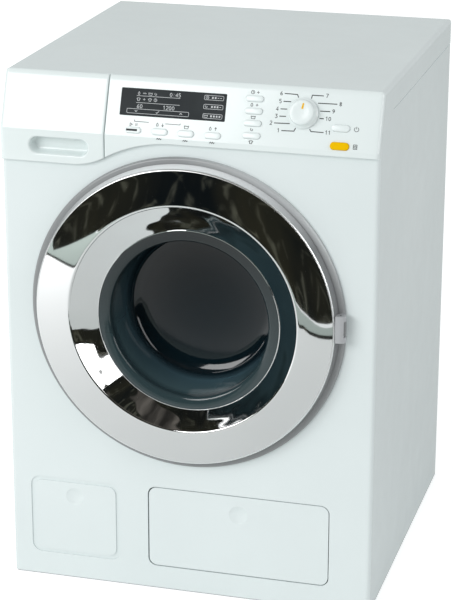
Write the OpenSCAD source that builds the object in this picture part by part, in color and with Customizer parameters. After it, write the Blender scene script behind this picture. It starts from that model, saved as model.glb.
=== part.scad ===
// Toy washing machine, battery driven, with a turning drum and a porthole door.
// Millimetres. Seen from the front, +X is right, the front faces -Y and +Z is up.
// The origin is the centre of the flat underside of the base.

/* [Cabinet] */
// Width of the cabinet
cabinet_w = 185; // [184.6:0.1:186]
// Depth of the cabinet, from the flat front to the rear of the top
cabinet_d = 182; // [181.8:0.1:184]
// Height of the cabinet
cabinet_h = 261; // [260.8:0.1:261.4]
// Wall thickness of the cabinet moulding
wall = 2.5; // [2.3:0.05:2.7]
// Radius of the cabinet's rounded edges
edge_r = 2.2; // [2:0.2:3]

/* [Control fascia] */
// Height of the crease where the fascia starts to lean back
crease_z = 234.5; // [234.3:0.1:234.7]
// Lean of the upper fascia from the vertical, in degrees
fascia_lean = 21; // [20.8:0.1:21.2]
// How far the fascia's lower lip stands in front of the cabinet
fascia_proud = 2.3; // [2.2:0.05:2.4]
// Thickness of the fascia plates, measured front to back
fascia_t = 3; // [2.8:0.1:3.1]
// Height of the seam under the drawer, at the left
seam_low_z = 218.4; // [218.2:0.1:218.6]
// Height of the seam under the control panel, at the right
seam_high_z = 231.5; // [231.3:0.1:231.7]
// Place across of the gap between the drawer and the control panel
drawer_gap_x = -40; // [-40.4:0.1:-39.8]

/* [Door] */
// Height of the door's centre
door_z = 147.4; // [147:0.1:147.8]
// Outer radius of the grey bezel on the panel
bezel_r = 78.45; // [78.2:0.05:78.7]
// Outer radius of the chrome ring
ring_r = 74.15; // [74:0.05:74.3]
// Radius of the bright lip inside the chrome ring
lip_r = 56.7; // [56.5:0.1:56.9]
// Radius of the funnel's mouth at the glass
funnel_r = 45.6; // [45.4:0.1:45.8]
// How far the glass sits below the door's centre
glass_drop = 3.6; // [3.4:0.1:3.8]

/* [Drum and gears] */
// Outer radius of the drum
drum_r = 66; // [65:0.5:66.5]
// Radius of the drum's front mouth
drum_mouth_r = 54; // [52:0.5:55]
// Teeth of the drum's gear
drum_teeth = 48; // [48:48]
// Teeth of the pinions
pinion_teeth = 12; // [12:12]
// Teeth of the idler's large wheel
idler_teeth = 36; // [36:36]
// Tooth module of the gears
gear_module = 1; // [1:1]
// Play between meshing teeth
gear_play = 0.3; // [0.25:0.05:0.4]

/* [Service flap] */
// Left edge, right edge, bottom and top of the flap
flap_x0 = -20.2; // [-20.4:0.1:-20]
flap_x1 = 71.4; // [71.2:0.1:71.6]
flap_z0 = 13; // [12.8:0.1:13.2]
flap_z1 = 55; // [54.8:0.1:55.2]

/* [Hidden] */

$fn = 96;

front_y = -cabinet_d / 2;
back_y = cabinet_d / 2;
side_x = cabinet_w / 2;
inner_x = side_x - wall;
inner_front_y = front_y + wall;
inner_top_z = cabinet_h - wall;
foot_h = 0.6;

// Fascia: face line, top edge and seam curve
fascia_y = front_y - fascia_proud;
lean_run = tan(fascia_lean);
seam_rise = seam_high_z - seam_low_z;
seam_r1 = 33;
seam_r2 = 66;
seam_end_x = -7;
seam_run = sqrt(pow(seam_r1 + seam_r2, 2) - pow(seam_r1 + seam_r2 - seam_rise, 2));
seam_start_x = seam_end_x - seam_run;
seam_steps = 12;
seam_gap = 0.3;
top_edge_y = fascia_y + (cabinet_h - crease_z) * lean_run + 1.7;
lip_r_fascia = 1.2;
panel_gap = 0.35;
grip_x0 = -77.7;
grip_x1 = -48.2;
grip_z = 226.9;
grip_h = 7.9;
grip_depth = 6;

// Places on the leaning panel: across, up the slope from the crease
knob_x = 55.2;
knob_s = 16.3;
knob_r = 7.2;
button_w = 8.4;
button_h = 2.9;
lower_row_s = 3;
option_x = 31.6;
option_s = [21.6, 15.8, 10.1, 4.3];
power_x = 73.5;
power_s = 10.6;
door_button_s = 2.4;
display_x0 = -33.3;
display_x1 = 18.2;
display_s0 = 9.8;
display_s1 = 22.9;
button_proud = 0.8;
button_stem = 6;
board_depth = 8;
board_t = 1.6;

// Door section, as distances of each face from the front panel
bezel_h = 2.2;
ring_edge_h = 7.4;
lip_h = 10.2;
glass_h = -1;
bezel_top_r = 77.7;
bezel_bore_r = 69.6;
skirt_r = 71.6;
door_hole_r = 72;
back_r = 69;
hinge_x = 76.6;
hinge_y = front_y - 4.8;
hinge_z0 = 142.8;
hinge_z1 = 156;
cheek_t = 2.6;
knuckle_r = 2.6;
lug_r = 1.75;
pin_r = 0.8;

// Tub, drum and drive
tub_r = 74;
tub_t = 2;
tub_y0 = -82;
tub_y1 = 30;
tub_split_y = -24;
flange_r = 79;
shaft_r = 4;
idler_z = door_z - gear_module * (drum_teeth + pinion_teeth) / 2;
motor_arm = gear_module * (idler_teeth + pinion_teeth) / 2;
motor_x = motor_arm * cos(45);
motor_z = idler_z - motor_arm * sin(45);
gear_y0 = 41;
gear_y1 = 47;
wheel_y0 = 49;
wheel_y1 = 54;
plate_y = 58;
pillar_x = 28;
pillar_z = [88, 170];
spigot_x = -66;
spigot_y = -40;
drain_y = 10;
drain_z = 62;

// Fastener places
base_boss_x = 86;
base_boss_y = 55;
rear_boss_z = [22, 125, 233];
boss_r = 4.5;
screw_r = 1.3;
head_r = 2.8;

// Battery compartment
cell_r = 7.25;
cell_len = 50.5;
bat_x = 56;
bat_z0 = 9.5;
bat_z1 = 43;
bat_y0 = 70;

flap_axis_y = front_y + 1.8;
flap_axis_z = flap_z0 + 4.6;
flap_barrel_r = 1.9;

white = [0.92, 0.95, 0.95];
grey = [0.6, 0.6, 0.62];
chrome = [0.8, 0.81, 0.82];
smoke = [0.12, 0.15, 0.18];
dark = [0.2, 0.21, 0.23];
yellow = [0.95, 0.74, 0.08];
steel = [0.7, 0.7, 0.72];
rubber = [0.35, 0.36, 0.38];

// ---- general helpers ----

// A drawing in X and Z, made solid from y0 to y1
module in_xz(y0, y1) {
    translate([0, y1, 0])
        rotate([90, 0, 0])
            linear_extrude(y1 - y0)
                children();
}

// A drawing in Y and Z, made solid from x0 to x1
module in_yz(x0, x1) {
    translate([x0, 0, 0])
        rotate([90, 0, 90])
            linear_extrude(x1 - x0)
                children();
}

// A round bar along Y
module bar_y(x, z, r, y0, y1) {
    translate([x, y0, z])
        rotate([-90, 0, 0])
            cylinder(r = r, h = y1 - y0);
}

// A round bar along X
module bar_x(y, z, r, x0, x1) {
    translate([x0, y, z])
        rotate([0, 90, 0])
            cylinder(r = r, h = x1 - x0);
}

// A round bar along Z
module bar_z(x, y, r, z0, z1) {
    translate([x, y, z0])
        cylinder(r = r, h = z1 - z0);
}

// A ring about the door's axis, from points of radius and Y
module turned(points, cz = door_z) {
    translate([0, 0, cz])
        rotate([90, 0, 0])
            rotate_extrude()
                polygon([for (p = points) [p[0], -p[1]]]);
}

module block(x0, x1, y0, y1, z0, z1) {
    translate([x0, y0, z0])
        cube([x1 - x0, y1 - y0, z1 - z0]);
}

module rounded(x0, x1, z0, z1, r) {
    translate([x0 + r, z0])
        square([x1 - x0 - 2 * r, z1 - z0]);
    translate([x0, z0 + r])
        square([x1 - x0, z1 - z0 - 2 * r]);
    for (x = [x0 + r, x1 - r])
        for (z = [z0 + r, z1 - r])
            translate([x, z])
                circle(r);
}

module pill(w, h) {
    square([w - h, h], center = true);
    for (s = [-1, 1])
        translate([s * (w - h) / 2, 0])
            circle(h / 2);
}

// Moves a drawing from panel coordinates (across, up the slope, out) into place
module on_panel(x = 0, s = 0) {
    translate([0, fascia_y, crease_z])
        rotate([90 - fascia_lean, 0, 0])
            translate([x, s, 0])
                children();
}

// A screw along Y, its head at y, its shank running towards +Y or -Y
module screw_y(x, z, y, len, dir) {
    y0 = dir > 0 ? y : y - 1.6;
    bar_y(x, z, head_r, y0, y0 + 1.6);
    bar_y(x, z, screw_r, dir > 0 ? y + 1.5 : y - len, dir > 0 ? y + len : y - 1.5);
}

// A shallow round hollow in a face at y, as a slice of a ball
module dimple(x, z, y, r, depth) {
    ball_r = (r * r + depth * depth) / (2 * depth);
    translate([x, y + depth - ball_r, z])
        sphere(ball_r);
}

// ---- fascia outline ----

// Points of the seam's two arcs, from left to right, lifted by a gap
seam_turn = acos(1 - seam_rise / (seam_r1 + seam_r2));
function seam_points(gap) = concat(
    [
        for (k = [0:seam_steps])
            let (a = seam_turn * k / seam_steps)
            [
                seam_start_x + (seam_r1 - gap) * sin(a),
                seam_low_z + seam_r1 - (seam_r1 - gap) * cos(a)
            ]
    ],
    [
        for (k = [seam_steps - 1:-1:0])
            let (a = seam_turn * k / seam_steps)
            [
                seam_end_x - (seam_r2 + gap) * sin(a),
                seam_high_z - seam_r2 + (seam_r2 + gap) * cos(a)
            ]
    ]
);

// The area of the front above the seam curve, lifted by a gap
module above_seam(gap) {
    out_x = side_x + 5;
    top_z = cabinet_h + 20;
    polygon(concat(
        [[-out_x, top_z], [-out_x, seam_low_z + gap]],
        seam_points(gap),
        [[out_x, seam_high_z + gap], [out_x, top_z]]
    ));
}

function face_y(z) = fascia_y + max(0, z - crease_z) * lean_run;

// Section of the fascia plate: lip, upright, lean and rounded top edge
module fascia_section() {
    bend_z = cabinet_h - 2.4;
    inner_z = crease_z + (top_edge_y - fascia_y - fascia_t) / lean_run;
    polygon([
        [fascia_y + fascia_t, seam_low_z],
        [fascia_y + lip_r_fascia, seam_low_z],
        [fascia_y + 0.35, seam_low_z + 0.35],
        [fascia_y, seam_low_z + lip_r_fascia],
        [fascia_y, crease_z],
        [face_y(bend_z), bend_z],
        [face_y(bend_z) + 0.75, cabinet_h - 0.9],
        [face_y(bend_z) + 1.65, cabinet_h - 0.15],
        [face_y(bend_z) + 2.4, cabinet_h],
        [top_edge_y, cabinet_h],
        [top_edge_y, inner_z],
        [fascia_y + fascia_t, crease_z]
    ]);
}

module fascia_plate(x0, x1) {
    intersection() {
        in_yz(x0, x1)
            fascia_section();
        in_xz(-120, 0)
            above_seam(seam_gap);
        in_xz(-120, 0)
            rounded(-side_x, side_x, 0, cabinet_h + 10, edge_r);
        translate([0, 0, 200])
            linear_extrude(100)
                rounded(-side_x, side_x, fascia_y - 0.2, back_y, edge_r);
    }
}

// ---- cabinet ----

module cabinet_form() {
    intersection() {
        translate([0, 0, foot_h])
            linear_extrude(cabinet_h - foot_h)
                rounded(-side_x, side_x, front_y, back_y, edge_r);
        in_xz(front_y, back_y)
            rounded(-side_x, side_x, -20, cabinet_h, edge_r);
        in_yz(-side_x, side_x)
            rounded(front_y - 20, back_y, -20, cabinet_h, edge_r);
    }
}

module fascia_space() {
    clear_y = fascia_y + fascia_t + 0.1;
    lip_y = top_edge_y + 0.2;
    intersection() {
        in_xz(-120, 0)
            above_seam(0);
        in_yz(-side_x - 2, side_x + 2)
            polygon([
                [-119, 200],
                [clear_y, 200],
                [clear_y, crease_z],
                [lip_y, crease_z + (lip_y - clear_y) / lean_run],
                [lip_y, cabinet_h + 5],
                [-119, cabinet_h + 5]
            ]);
    }
    intersection() {
        in_xz(front_y - 5, front_y + 8)
            above_seam(0);
        block(-inner_x, inner_x, front_y - 5, front_y + 8, 200, inner_top_z);
    }
}

module cabinet_bosses() {
    for (x = [-base_boss_x, base_boss_x]) {
        for (y = [-base_boss_y, base_boss_y])
            bar_z(x, y, boss_r, 6, 24);
        for (z = rear_boss_z)
            bar_y(x, z, boss_r, 66, 88.2);
    }
}

module boss_holes() {
    for (x = [-base_boss_x, base_boss_x]) {
        for (y = [-base_boss_y, base_boss_y])
            bar_z(x, y, screw_r + 0.05, 5, 21);
        for (z = rear_boss_z)
            bar_y(x, z, screw_r + 0.05, 70, 89);
    }
}

module emboss_frame() {
    in_xz(front_y - 1, front_y + 0.6)
        difference() {
            rounded(-82.5, -35.7, 12.7, 54.3, 5);
            rounded(-80.4, -37.8, 14.6, 52.3, 4);
        }
    dimple(-59.3, 45, front_y, 4.6, 1);
}

module cabinet() {
    rear_y = back_y - 2.7;
    split_z = 248.5;
    color(white)
        difference() {
            union() {
                difference() {
                    cabinet_form();
                    block(-inner_x, inner_x, inner_front_y, rear_y, -1, inner_top_z);
                }
                cabinet_bosses();
            }
            block(-side_x - 1, side_x + 1, rear_y, back_y + 1, -1, split_z);
            boss_holes();
            fascia_space();
            bar_y(0, door_z, door_hole_r, front_y - 1, inner_front_y + 1);
            in_xz(front_y - 1, inner_front_y + 1)
                rounded(flap_x0 - 0.7, flap_x1 + 0.4, flap_z0 - 0.6, flap_z1 + 0.4, 4.4);
            bar_x(flap_axis_y, flap_axis_z, pin_r + 0.05, flap_x0 - 2.2, flap_x1 + 2.2);
            block(flap_x0 - 2.2, flap_x1 + 2.2, flap_axis_y, inner_front_y + 1,
                flap_axis_z - pin_r - 0.05, flap_axis_z + pin_r + 0.05);
            emboss_frame();
            for (s = [-1, 1])
                translate([s * side_x, 0, 0])
                    block(-0.3, 0.3, -62, back_y + 1, 247.9, 248.3);
        }
}

module base_plate() {
    x = inner_x - 0.2;
    y = -inner_front_y - 0.3;
    color(white)
        difference() {
            union() {
                block(-x, x, -y, y, 0, wall);
                for (sx = [-1, 1])
                    for (sy = [-1, 1])
                        bar_z(sx * base_boss_x, sy * base_boss_y, x - base_boss_x, 1, 5.9);
                for (rx = [-30, 30])
                    block(rx - 1, rx + 1, bat_y0 - 1, back_y - 5.6, 2, bat_z0 - 1.6);
                for (rx = [-70, 70])
                    block(rx - 1, rx + 1, -70, 60, 2, 6);
            }
            for (sx = [-1, 1])
                for (sy = [-1, 1]) {
                    bar_z(sx * base_boss_x, sy * base_boss_y, screw_r + 0.1, -1, 7);
                    bar_z(sx * base_boss_x, sy * base_boss_y, head_r + 0.1, -1, 2);
                }
            for (i = [0:2])
                for (j = [0:2])
                    bar_z(-50 + (i - 1) * 6, 20 + (j - 1) * 6, 1.2, -1, 4);
        }
}

module rear_cover() {
    y0 = back_y - 2.5;
    y1 = back_y - 0.8;
    color(white)
        difference() {
            union() {
                in_xz(y0, y1)
                    rounded(-side_x + 0.3, side_x - 0.3, foot_h, 248.2, 3);
                difference() {
                    block(-inner_x + 0.2, inner_x - 0.2, y0 - 3, y0 + 0.5, 3, 246);
                    block(-inner_x + 1.8, inner_x - 1.8, y0 - 4, y0 + 0.2, 4.6, 244.4);
                    for (x = [-base_boss_x, base_boss_x])
                        for (z = rear_boss_z)
                            block(x - 5, x + 5, y0 - 4, y0, z - 5, z + 5);
                }
            }
            for (x = [-base_boss_x, base_boss_x])
                for (z = rear_boss_z) {
                    bar_y(x, z, screw_r + 0.1, y0 - 1, y1 + 1);
                    bar_y(x, z, head_r + 0.1, y1 - 1, y1 + 1);
                }
            in_xz(y0 - 5, y1 + 1)
                rounded(-bat_x - 3, bat_x + 3, bat_z0 - 3, bat_z1 + 3, 3);
            bar_y(0, drain_z, 6.5, y0 - 1, y1 + 1);
            for (i = [0:8])
                in_xz(y0 - 1, y1 + 1)
                    translate([0, 180 + i * 5])
                        pill(60, 2);
        }
}

// ---- fascia ----

module button_holes(extra) {
    on_panel(-25.6, lower_row_s)
        linear_extrude(20, center = true)
            pill(7.5 + extra, button_h + extra);
    for (x = [-12.8, 0, 13])
        on_panel(x, lower_row_s)
            linear_extrude(20, center = true)
                pill(7.9 + extra, 3.1 + extra);
    for (s = option_s)
        on_panel(option_x, s)
            linear_extrude(20, center = true)
                pill(8.6 + extra, button_h + extra);
    on_panel(power_x, power_s)
        linear_extrude(20, center = true)
            pill(button_w + extra, 3.2 + extra);
    on_panel(power_x, door_button_s)
        linear_extrude(20, center = true)
            pill(9.3 + extra, 3.8 + extra);
}

module control_panel() {
    color(white)
        difference() {
            union() {
                fascia_plate(drawer_gap_x + panel_gap, side_x);
                for (x = [-35.8, 42, 85])
                    on_panel(x, 12)
                        translate([0, 0, -board_depth + 0.1])
                            cylinder(r = 2, h = board_depth - 2);
            }
            button_holes(0.3);
            on_panel((display_x0 + display_x1) / 2, (display_s0 + display_s1) / 2)
                cube([display_x1 - display_x0, display_s1 - display_s0, 20], center = true);
            on_panel(knob_x, knob_s)
                translate([0, 0, -10])
                    cylinder(r = 3.06, h = 20);
            for (x = [-35.8, 42, 85])
                on_panel(x, 12)
                    translate([0, 0, -board_depth - 1])
                        cylinder(r = 0.85, h = board_depth - 1.5);
        }
}

module grip_slot(extra) {
    translate([(grip_x0 + grip_x1) / 2, grip_z])
        pill(grip_x1 - grip_x0 + extra, grip_h + extra);
}

module drawer_front() {
    color(white)
        difference() {
            union() {
                fascia_plate(-side_x, drawer_gap_x - panel_gap);
                in_xz(fascia_y + 1, fascia_y + grip_depth + 1.5)
                    grip_slot(3);
            }
            in_xz(fascia_y - 5, fascia_y + grip_depth)
                grip_slot(0);
        }
}

tray_x0 = -87.2;
tray_x1 = -45.6;
tray_z0 = 221.2;
tray_z1 = 246;
tray_y1 = -18;

module drawer_tray() {
    y0 = fascia_y + fascia_t + 0.1;
    color(white)
        difference() {
            block(tray_x0, tray_x1, y0, tray_y1, tray_z0, tray_z1);
            block(tray_x0 + 1.6, -67, y0 + 10, tray_y1 - 1.6, tray_z0 + 1.6, tray_z1 + 1);
            block(-65.4, tray_x1 - 1.6, y0 + 10, tray_y1 - 1.6, tray_z0 + 1.6, tray_z1 + 1);
            block(tray_x0 - 1, tray_x1 + 1, y0 - 1, y0 + 8.4, tray_z0 - 1, 240);
            in_yz(tray_x0 - 1, tray_x1 + 1)
                polygon([
                    [y0 - 1, crease_z],
                    [y0, crease_z],
                    [y0 + (tray_z1 - crease_z + 2) * lean_run, tray_z1 + 2],
                    [y0 - 1, tray_z1 + 2]
                ]);
            for (x = [-77, -56])
                bar_z(x, tray_y1 - 10, 3, tray_z0 - 1, tray_z0 + 3);
        }
}

module drawer_housing() {
    x0 = -inner_x + 0.1;
    x1 = -43.6;
    z0 = 218.6;
    z1 = 250;
    y1 = tray_y1 + 4;
    lean_y = fascia_y + fascia_t + 0.3;
    color(grey)
        difference() {
            union() {
                block(x0, x1, -86.5, y1, z0, z1);
                bar_z(spigot_x, spigot_y, 4.6, 210, z0 + 1);
            }
            block(x0 + 1.6, x1 - 1.6, -87.5, y1 - 1.6, z0 + 1.6, z1 + 1);
            in_yz(x0 - 1, x1 + 1)
                polygon([
                    [lean_y - 9, crease_z],
                    [lean_y, crease_z],
                    [lean_y + (z1 + 2 - crease_z) * lean_run, z1 + 2],
                    [lean_y - 9, z1 + 2]
                ]);
            bar_z(spigot_x, spigot_y, 3.2, 209, z0 + 3);
        }
}

module display_lens() {
    x0 = display_x0 + 0.1;
    x1 = display_x1 - 0.1;
    color(dark)
        on_panel(x0, display_s0 + 0.1)
            translate([0, 0, -2.6])
                cube([x1 - x0, display_s1 - display_s0 - 0.2, 2.6]);
}

module display_module() {
    color(dark)
        on_panel(-33, 9.4)
            translate([0, 0, -6])
                cube([51, 14, 3]);
}

module board_at(depth, t) {
    on_panel(-37, 1)
        translate([0, 0, -depth - t])
            cube([125, 25, t]);
}

module circuit_board() {
    color([0.12, 0.4, 0.25])
        difference() {
            board_at(board_depth, board_t);
            for (x = [-35.8, 42, 85])
                on_panel(x, 12)
                    translate([0, 0, -board_depth - 3])
                        cylinder(r = 0.9, h = 5);
            on_panel(knob_x, knob_s)
                translate([0, 0, -board_depth - 3])
                    cylinder(r = 4, h = 6);
        }
}

module board_screws() {
    color(steel)
        for (x = [-35.8, 42, 85])
            on_panel(x, 12)
                translate([0, 0, -board_depth - board_t - 1.2]) {
                    cylinder(r = 1.6, h = 1.2);
                    cylinder(r = 0.8, h = 5);
                }
}

module pad_at(x, s) {
    on_panel(x, s)
        translate([0, 0, -board_depth])
            cylinder(r = 1.4, h = board_depth - button_stem - 1.2);
}

module switch_pads() {
    color(rubber) {
        for (x = [-25.6, -12.8, 0, 13])
            pad_at(x, lower_row_s);
        for (s = option_s)
            pad_at(option_x, s);
        pad_at(power_x, power_s);
        pad_at(power_x, door_button_s);
    }
}

// A push button: cap above the panel, retaining flange and stem below it
module button(x, s, w, h, proud) {
    on_panel(x, s) {
        translate([0, 0, -3.3])
            linear_extrude(3.3 + proud)
                pill(w, h);
        translate([0, 0, -4.2])
            linear_extrude(1)
                pill(w + 1.2, min(h + 1, 4));
        translate([0, 0, -button_stem])
            cylinder(r = 1.1, h = 2.2);
    }
}

module start_button() {
    color(white)
        button(-25.6, lower_row_s, 7.5, button_h, button_proud);
}

module fill_button() {
    color(white)
        button(-12.8, lower_row_s, 7.9, 3.1, button_proud);
}

module wash_button() {
    color(white)
        button(0, lower_row_s, 7.9, 3.1, button_proud);
}

module drain_button() {
    color(white)
        button(13, lower_row_s, 7.9, 3.1, button_proud);
}

module option_button(i) {
    color(white)
        button(option_x, option_s[i], 8.6, button_h, button_proud);
}

module power_button() {
    color(white)
        button(power_x, power_s, button_w, 3.2, button_proud);
}

module door_button() {
    color(yellow)
        button(power_x, door_button_s, 9.3, 3.8, 1.2);
}

// Cap with a flared skirt, a shaft through the panel and a retaining collar
module programme_knob() {
    cap_r = 5.8;
    color(white)
        on_panel(knob_x, knob_s)
            rotate_extrude()
                polygon([
                    [0, -7],
                    [3.6, -7],
                    [3.6, -5.6],
                    [3, -5.6],
                    [3, 0.3],
                    [knob_r, 0.3],
                    [knob_r, 1],
                    [cap_r + 0.6, 1.9],
                    [cap_r + 0.15, 2.8],
                    [cap_r, 4.2],
                    [cap_r - 0.5, 4.7],
                    [0, 4.7]
                ]);
}

// ---- door ----

module door_bezel() {
    lug_z0 = hinge_z0 + cheek_t + 0.2;
    lug_z1 = hinge_z1 - cheek_t - 0.2;
    floor_y = front_y - 1.6;
    color(grey) {
        difference() {
            turned([
                [bezel_bore_r, front_y - bezel_h],
                [bezel_bore_r, front_y + 5],
                [skirt_r, front_y + 5],
                [skirt_r, front_y],
                [bezel_r, front_y],
                [bezel_top_r, front_y - bezel_h]
            ]);
            block(60, 90, front_y - 20, floor_y, hinge_z0 - 0.3, hinge_z1 + 0.3);
            block(-75, -69, front_y - 4, front_y - 0.9, door_z - 5, door_z + 5);
        }
        difference() {
            union() {
                bar_z(hinge_x, hinge_y, lug_r, lug_z0, lug_z1);
                block(hinge_x - 1, hinge_x + 1, hinge_y, floor_y + 0.2, lug_z0, lug_z1);
            }
            bar_z(hinge_x, hinge_y, pin_r + 0.05, lug_z0 - 1, lug_z1 + 1);
        }
    }
}

module door_catch() {
    color(steel)
        block(-74.6, -69.7, front_y - 2.1, front_y - 1.1, door_z - 4, door_z + 4);
}

module door_ring() {
    foot_y = front_y - bezel_h - 0.3;
    color(chrome)
        difference() {
            union() {
                turned([
                    [ring_r, foot_y],
                    [ring_r, front_y - 6.6],
                    [ring_r - 0.3, front_y - 7.2],
                    [ring_r - 0.9, front_y - ring_edge_h],
                    [lip_r + 0.1, front_y - lip_h],
                    [lip_r + 0.1, front_y - 4.5],
                    [lip_r + 1.6, front_y - 4.5],
                    [lip_r + 1.6, front_y - 8],
                    [ring_r - 2, front_y - 5.7],
                    [ring_r - 2, foot_y]
                ]);
                for (a = [45:90:315])
                    bar_y(63 * cos(a), door_z + 63 * sin(a), 2.6, front_y - 8, front_y - 4.5);
            }
            for (a = [45:90:315])
                bar_y(63 * cos(a), door_z + 63 * sin(a), 1.05, front_y - 7.3, front_y - 4);
            block(back_r, side_x, hinge_y, front_y, hinge_z0 + 0.7, hinge_z1 - 0.7);
        }
}

module funnel_solid(r_front, r_back, y_front, y_back) {
    hull() {
        bar_y(0, door_z, r_front, y_front, y_front + 0.1, $fn = 96);
        bar_y(0, door_z - glass_drop, r_back, y_back - 0.1, y_back, $fn = 96);
    }
}

module door_funnel() {
    y0 = front_y - lip_h + 0.1;
    y1 = front_y - glass_h;
    color(chrome)
        difference() {
            funnel_solid(lip_r, funnel_r + 1.6, y0, y1);
            funnel_solid(lip_r - 0.6, funnel_r, y0 - 0.3, y1 + 0.3);
        }
}

module door_glass() {
    y0 = front_y - glass_h + 0.1;
    color(smoke)
        turned([
            [52, y0],
            [52, y0 + 1.5],
            [47.8, y0 + 1.5],
            [41.5, y0 + 2.6],
            [40.3, y0 + 25.6],
            [38.6, y0 + 29.6],
            [33.6, y0 + 32.2],
            [0, y0 + 33.5],
            [0, y0 + 32],
            [33, y0 + 30.7],
            [37.3, y0 + 28.5],
            [38.8, y0 + 25],
            [40, y0 + 1],
            [44.5, y0]
        ], door_z - glass_drop);
}

module door_back() {
    y0 = front_y - 4.4;
    color(grey)
        difference() {
            turned([
                [back_r, y0],
                [back_r, front_y - 1.4],
                [58, front_y - 1.4],
                [58, front_y + 4.5],
                [43, front_y + 4.5],
                [43, front_y + 3],
                [56.4, front_y + 3],
                [56.4, y0]
            ]);
            bar_y(0, door_z - glass_drop, 48, front_y + 2, front_y + 5);
            for (a = [45:90:315])
                bar_y(63 * cos(a), door_z + 63 * sin(a), 1.1, y0 - 1, front_y);
        }
}

module door_screws() {
    color(steel)
        for (a = [45:90:315])
            translate([63 * cos(a), 0, door_z + 63 * sin(a)]) {
                bar_y(0, 0, 1.9, front_y - 1.3, front_y - 0.1);
                bar_y(0, 0, 1, front_y - 7, front_y - 1.2);
            }
}

module hinge_block() {
    z0 = hinge_z0;
    z1 = hinge_z1;
    color([0.78, 0.78, 0.8])
        difference() {
            union() {
                difference() {
                    bar_z(hinge_x, hinge_y, knuckle_r, z0, z1);
                    bar_y(0, door_z, ring_r + 0.25, hinge_y - 5, hinge_y + 5);
                }
                block(ring_r + 0.25, hinge_x, hinge_y - knuckle_r, hinge_y + 2.2, z0, z1);
                block(back_r + 0.3, hinge_x, hinge_y + 0.3, hinge_y + 2.2, z0 + 1, z1 - 1);
            }
            bar_z(hinge_x, hinge_y, pin_r + 0.02, z0 + 0.8, z1 + 1);
            translate([hinge_x, hinge_y, z0 + cheek_t])
                linear_extrude(z1 - z0 - 2 * cheek_t) {
                    circle(lug_r + 0.3);
                    polygon([[0, 0], [10, -10], [12, 10], [-6, 8]]);
                }
        }
}

module hinge_pin() {
    color(steel)
        bar_z(hinge_x, hinge_y, pin_r, hinge_z0 + 0.9, hinge_z1);
}

module door_seal() {
    color(rubber)
        turned([
            [60, -85.5],
            [61.5, -87.5],
            [69, -87.5],
            [69, tub_y0 - 0.2],
            [66, tub_y0 - 0.2],
            [66, -85],
            [63, -85],
            [62, tub_y0 - 0.2],
            [60, tub_y0 - 0.2]
        ]);
}

// ---- tub ----

module tub_front() {
    color(grey)
        difference() {
            union() {
                bar_y(0, door_z, tub_r, tub_y0, tub_split_y);
                bar_y(0, door_z, flange_r, tub_split_y - 2, tub_split_y);
                bar_z(spigot_x, spigot_y, 4.6, door_z, 204);
            }
            bar_y(0, door_z, tub_r - tub_t, tub_y0 + tub_t, tub_split_y + 1);
            bar_y(0, door_z, 59, tub_y0 - 1, tub_y0 + 3);
            bar_z(spigot_x, spigot_y, 3.2, door_z + 20, 205);
            for (a = [30:60:330])
                bar_y(76.6 * cos(a), door_z + 76.6 * sin(a), 1.1, tub_split_y - 3, tub_split_y + 1);
        }
}

module tub_rear() {
    y0 = tub_split_y + 0.1;
    color(grey)
        difference() {
            union() {
                bar_y(0, door_z, tub_r, y0, tub_y1);
                bar_y(0, door_z, flange_r, y0, y0 + 2);
                bar_y(0, door_z, 8, tub_y1 - 5, tub_y1 + 8);
                bar_y(0, idler_z, 4, tub_y1 - 1, tub_y1 + 10);
                bar_z(0, drain_y, 4.6, drain_z + 4, door_z);
                for (x = [-pillar_x, pillar_x])
                    for (z = pillar_z)
                        bar_y(x, z, 3.5, tub_y1 - 1, plate_y - 0.1);
                for (x = [-43, 43])
                    block(x - 3, x + 3, -10, 5, wall + 0.1, door_z - 50);
            }
            bar_y(0, door_z, tub_r - tub_t, y0 - 1, tub_y1 - tub_t);
            bar_y(0, door_z, 5.05, tub_y1 - 6, tub_y1 + 9);
            bar_y(0, idler_z, 1.52, tub_y1 + 2, tub_y1 + 11);
            bar_z(0, drain_y, 3.2, drain_z + 3, door_z - 60);
            for (x = [-pillar_x, pillar_x])
                for (z = pillar_z)
                    bar_y(x, z, 1.1, plate_y - 9, plate_y + 1);
            for (a = [30:60:330])
                bar_y(76.6 * cos(a), door_z + 76.6 * sin(a), 1.1, y0 - 1, y0 + 3);
        }
}

module tub_screws() {
    color(steel) {
        for (a = [30:60:330])
            translate([76.6 * cos(a), 0, door_z + 76.6 * sin(a)]) {
                bar_y(0, 0, 1.9, tub_split_y + 2.2, tub_split_y + 3.6);
                bar_y(0, 0, 1, tub_split_y - 1.8, tub_split_y + 2.3);
            }
        for (x = [-pillar_x, pillar_x])
            for (z = pillar_z) {
                bar_y(x, z, 2.2, plate_y + 2.1, plate_y + 3.4);
                bar_y(x, z, 1, plate_y - 7, plate_y + 2.2);
            }
    }
}

module drum_bush() {
    color([0.8, 0.62, 0.3])
        turned([
            [shaft_r + 0.05, tub_y1 - 5],
            [5, tub_y1 - 5],
            [5, tub_y1 + 8],
            [shaft_r + 0.05, tub_y1 + 8]
        ]);
}

// ---- drum and drive ----

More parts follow.
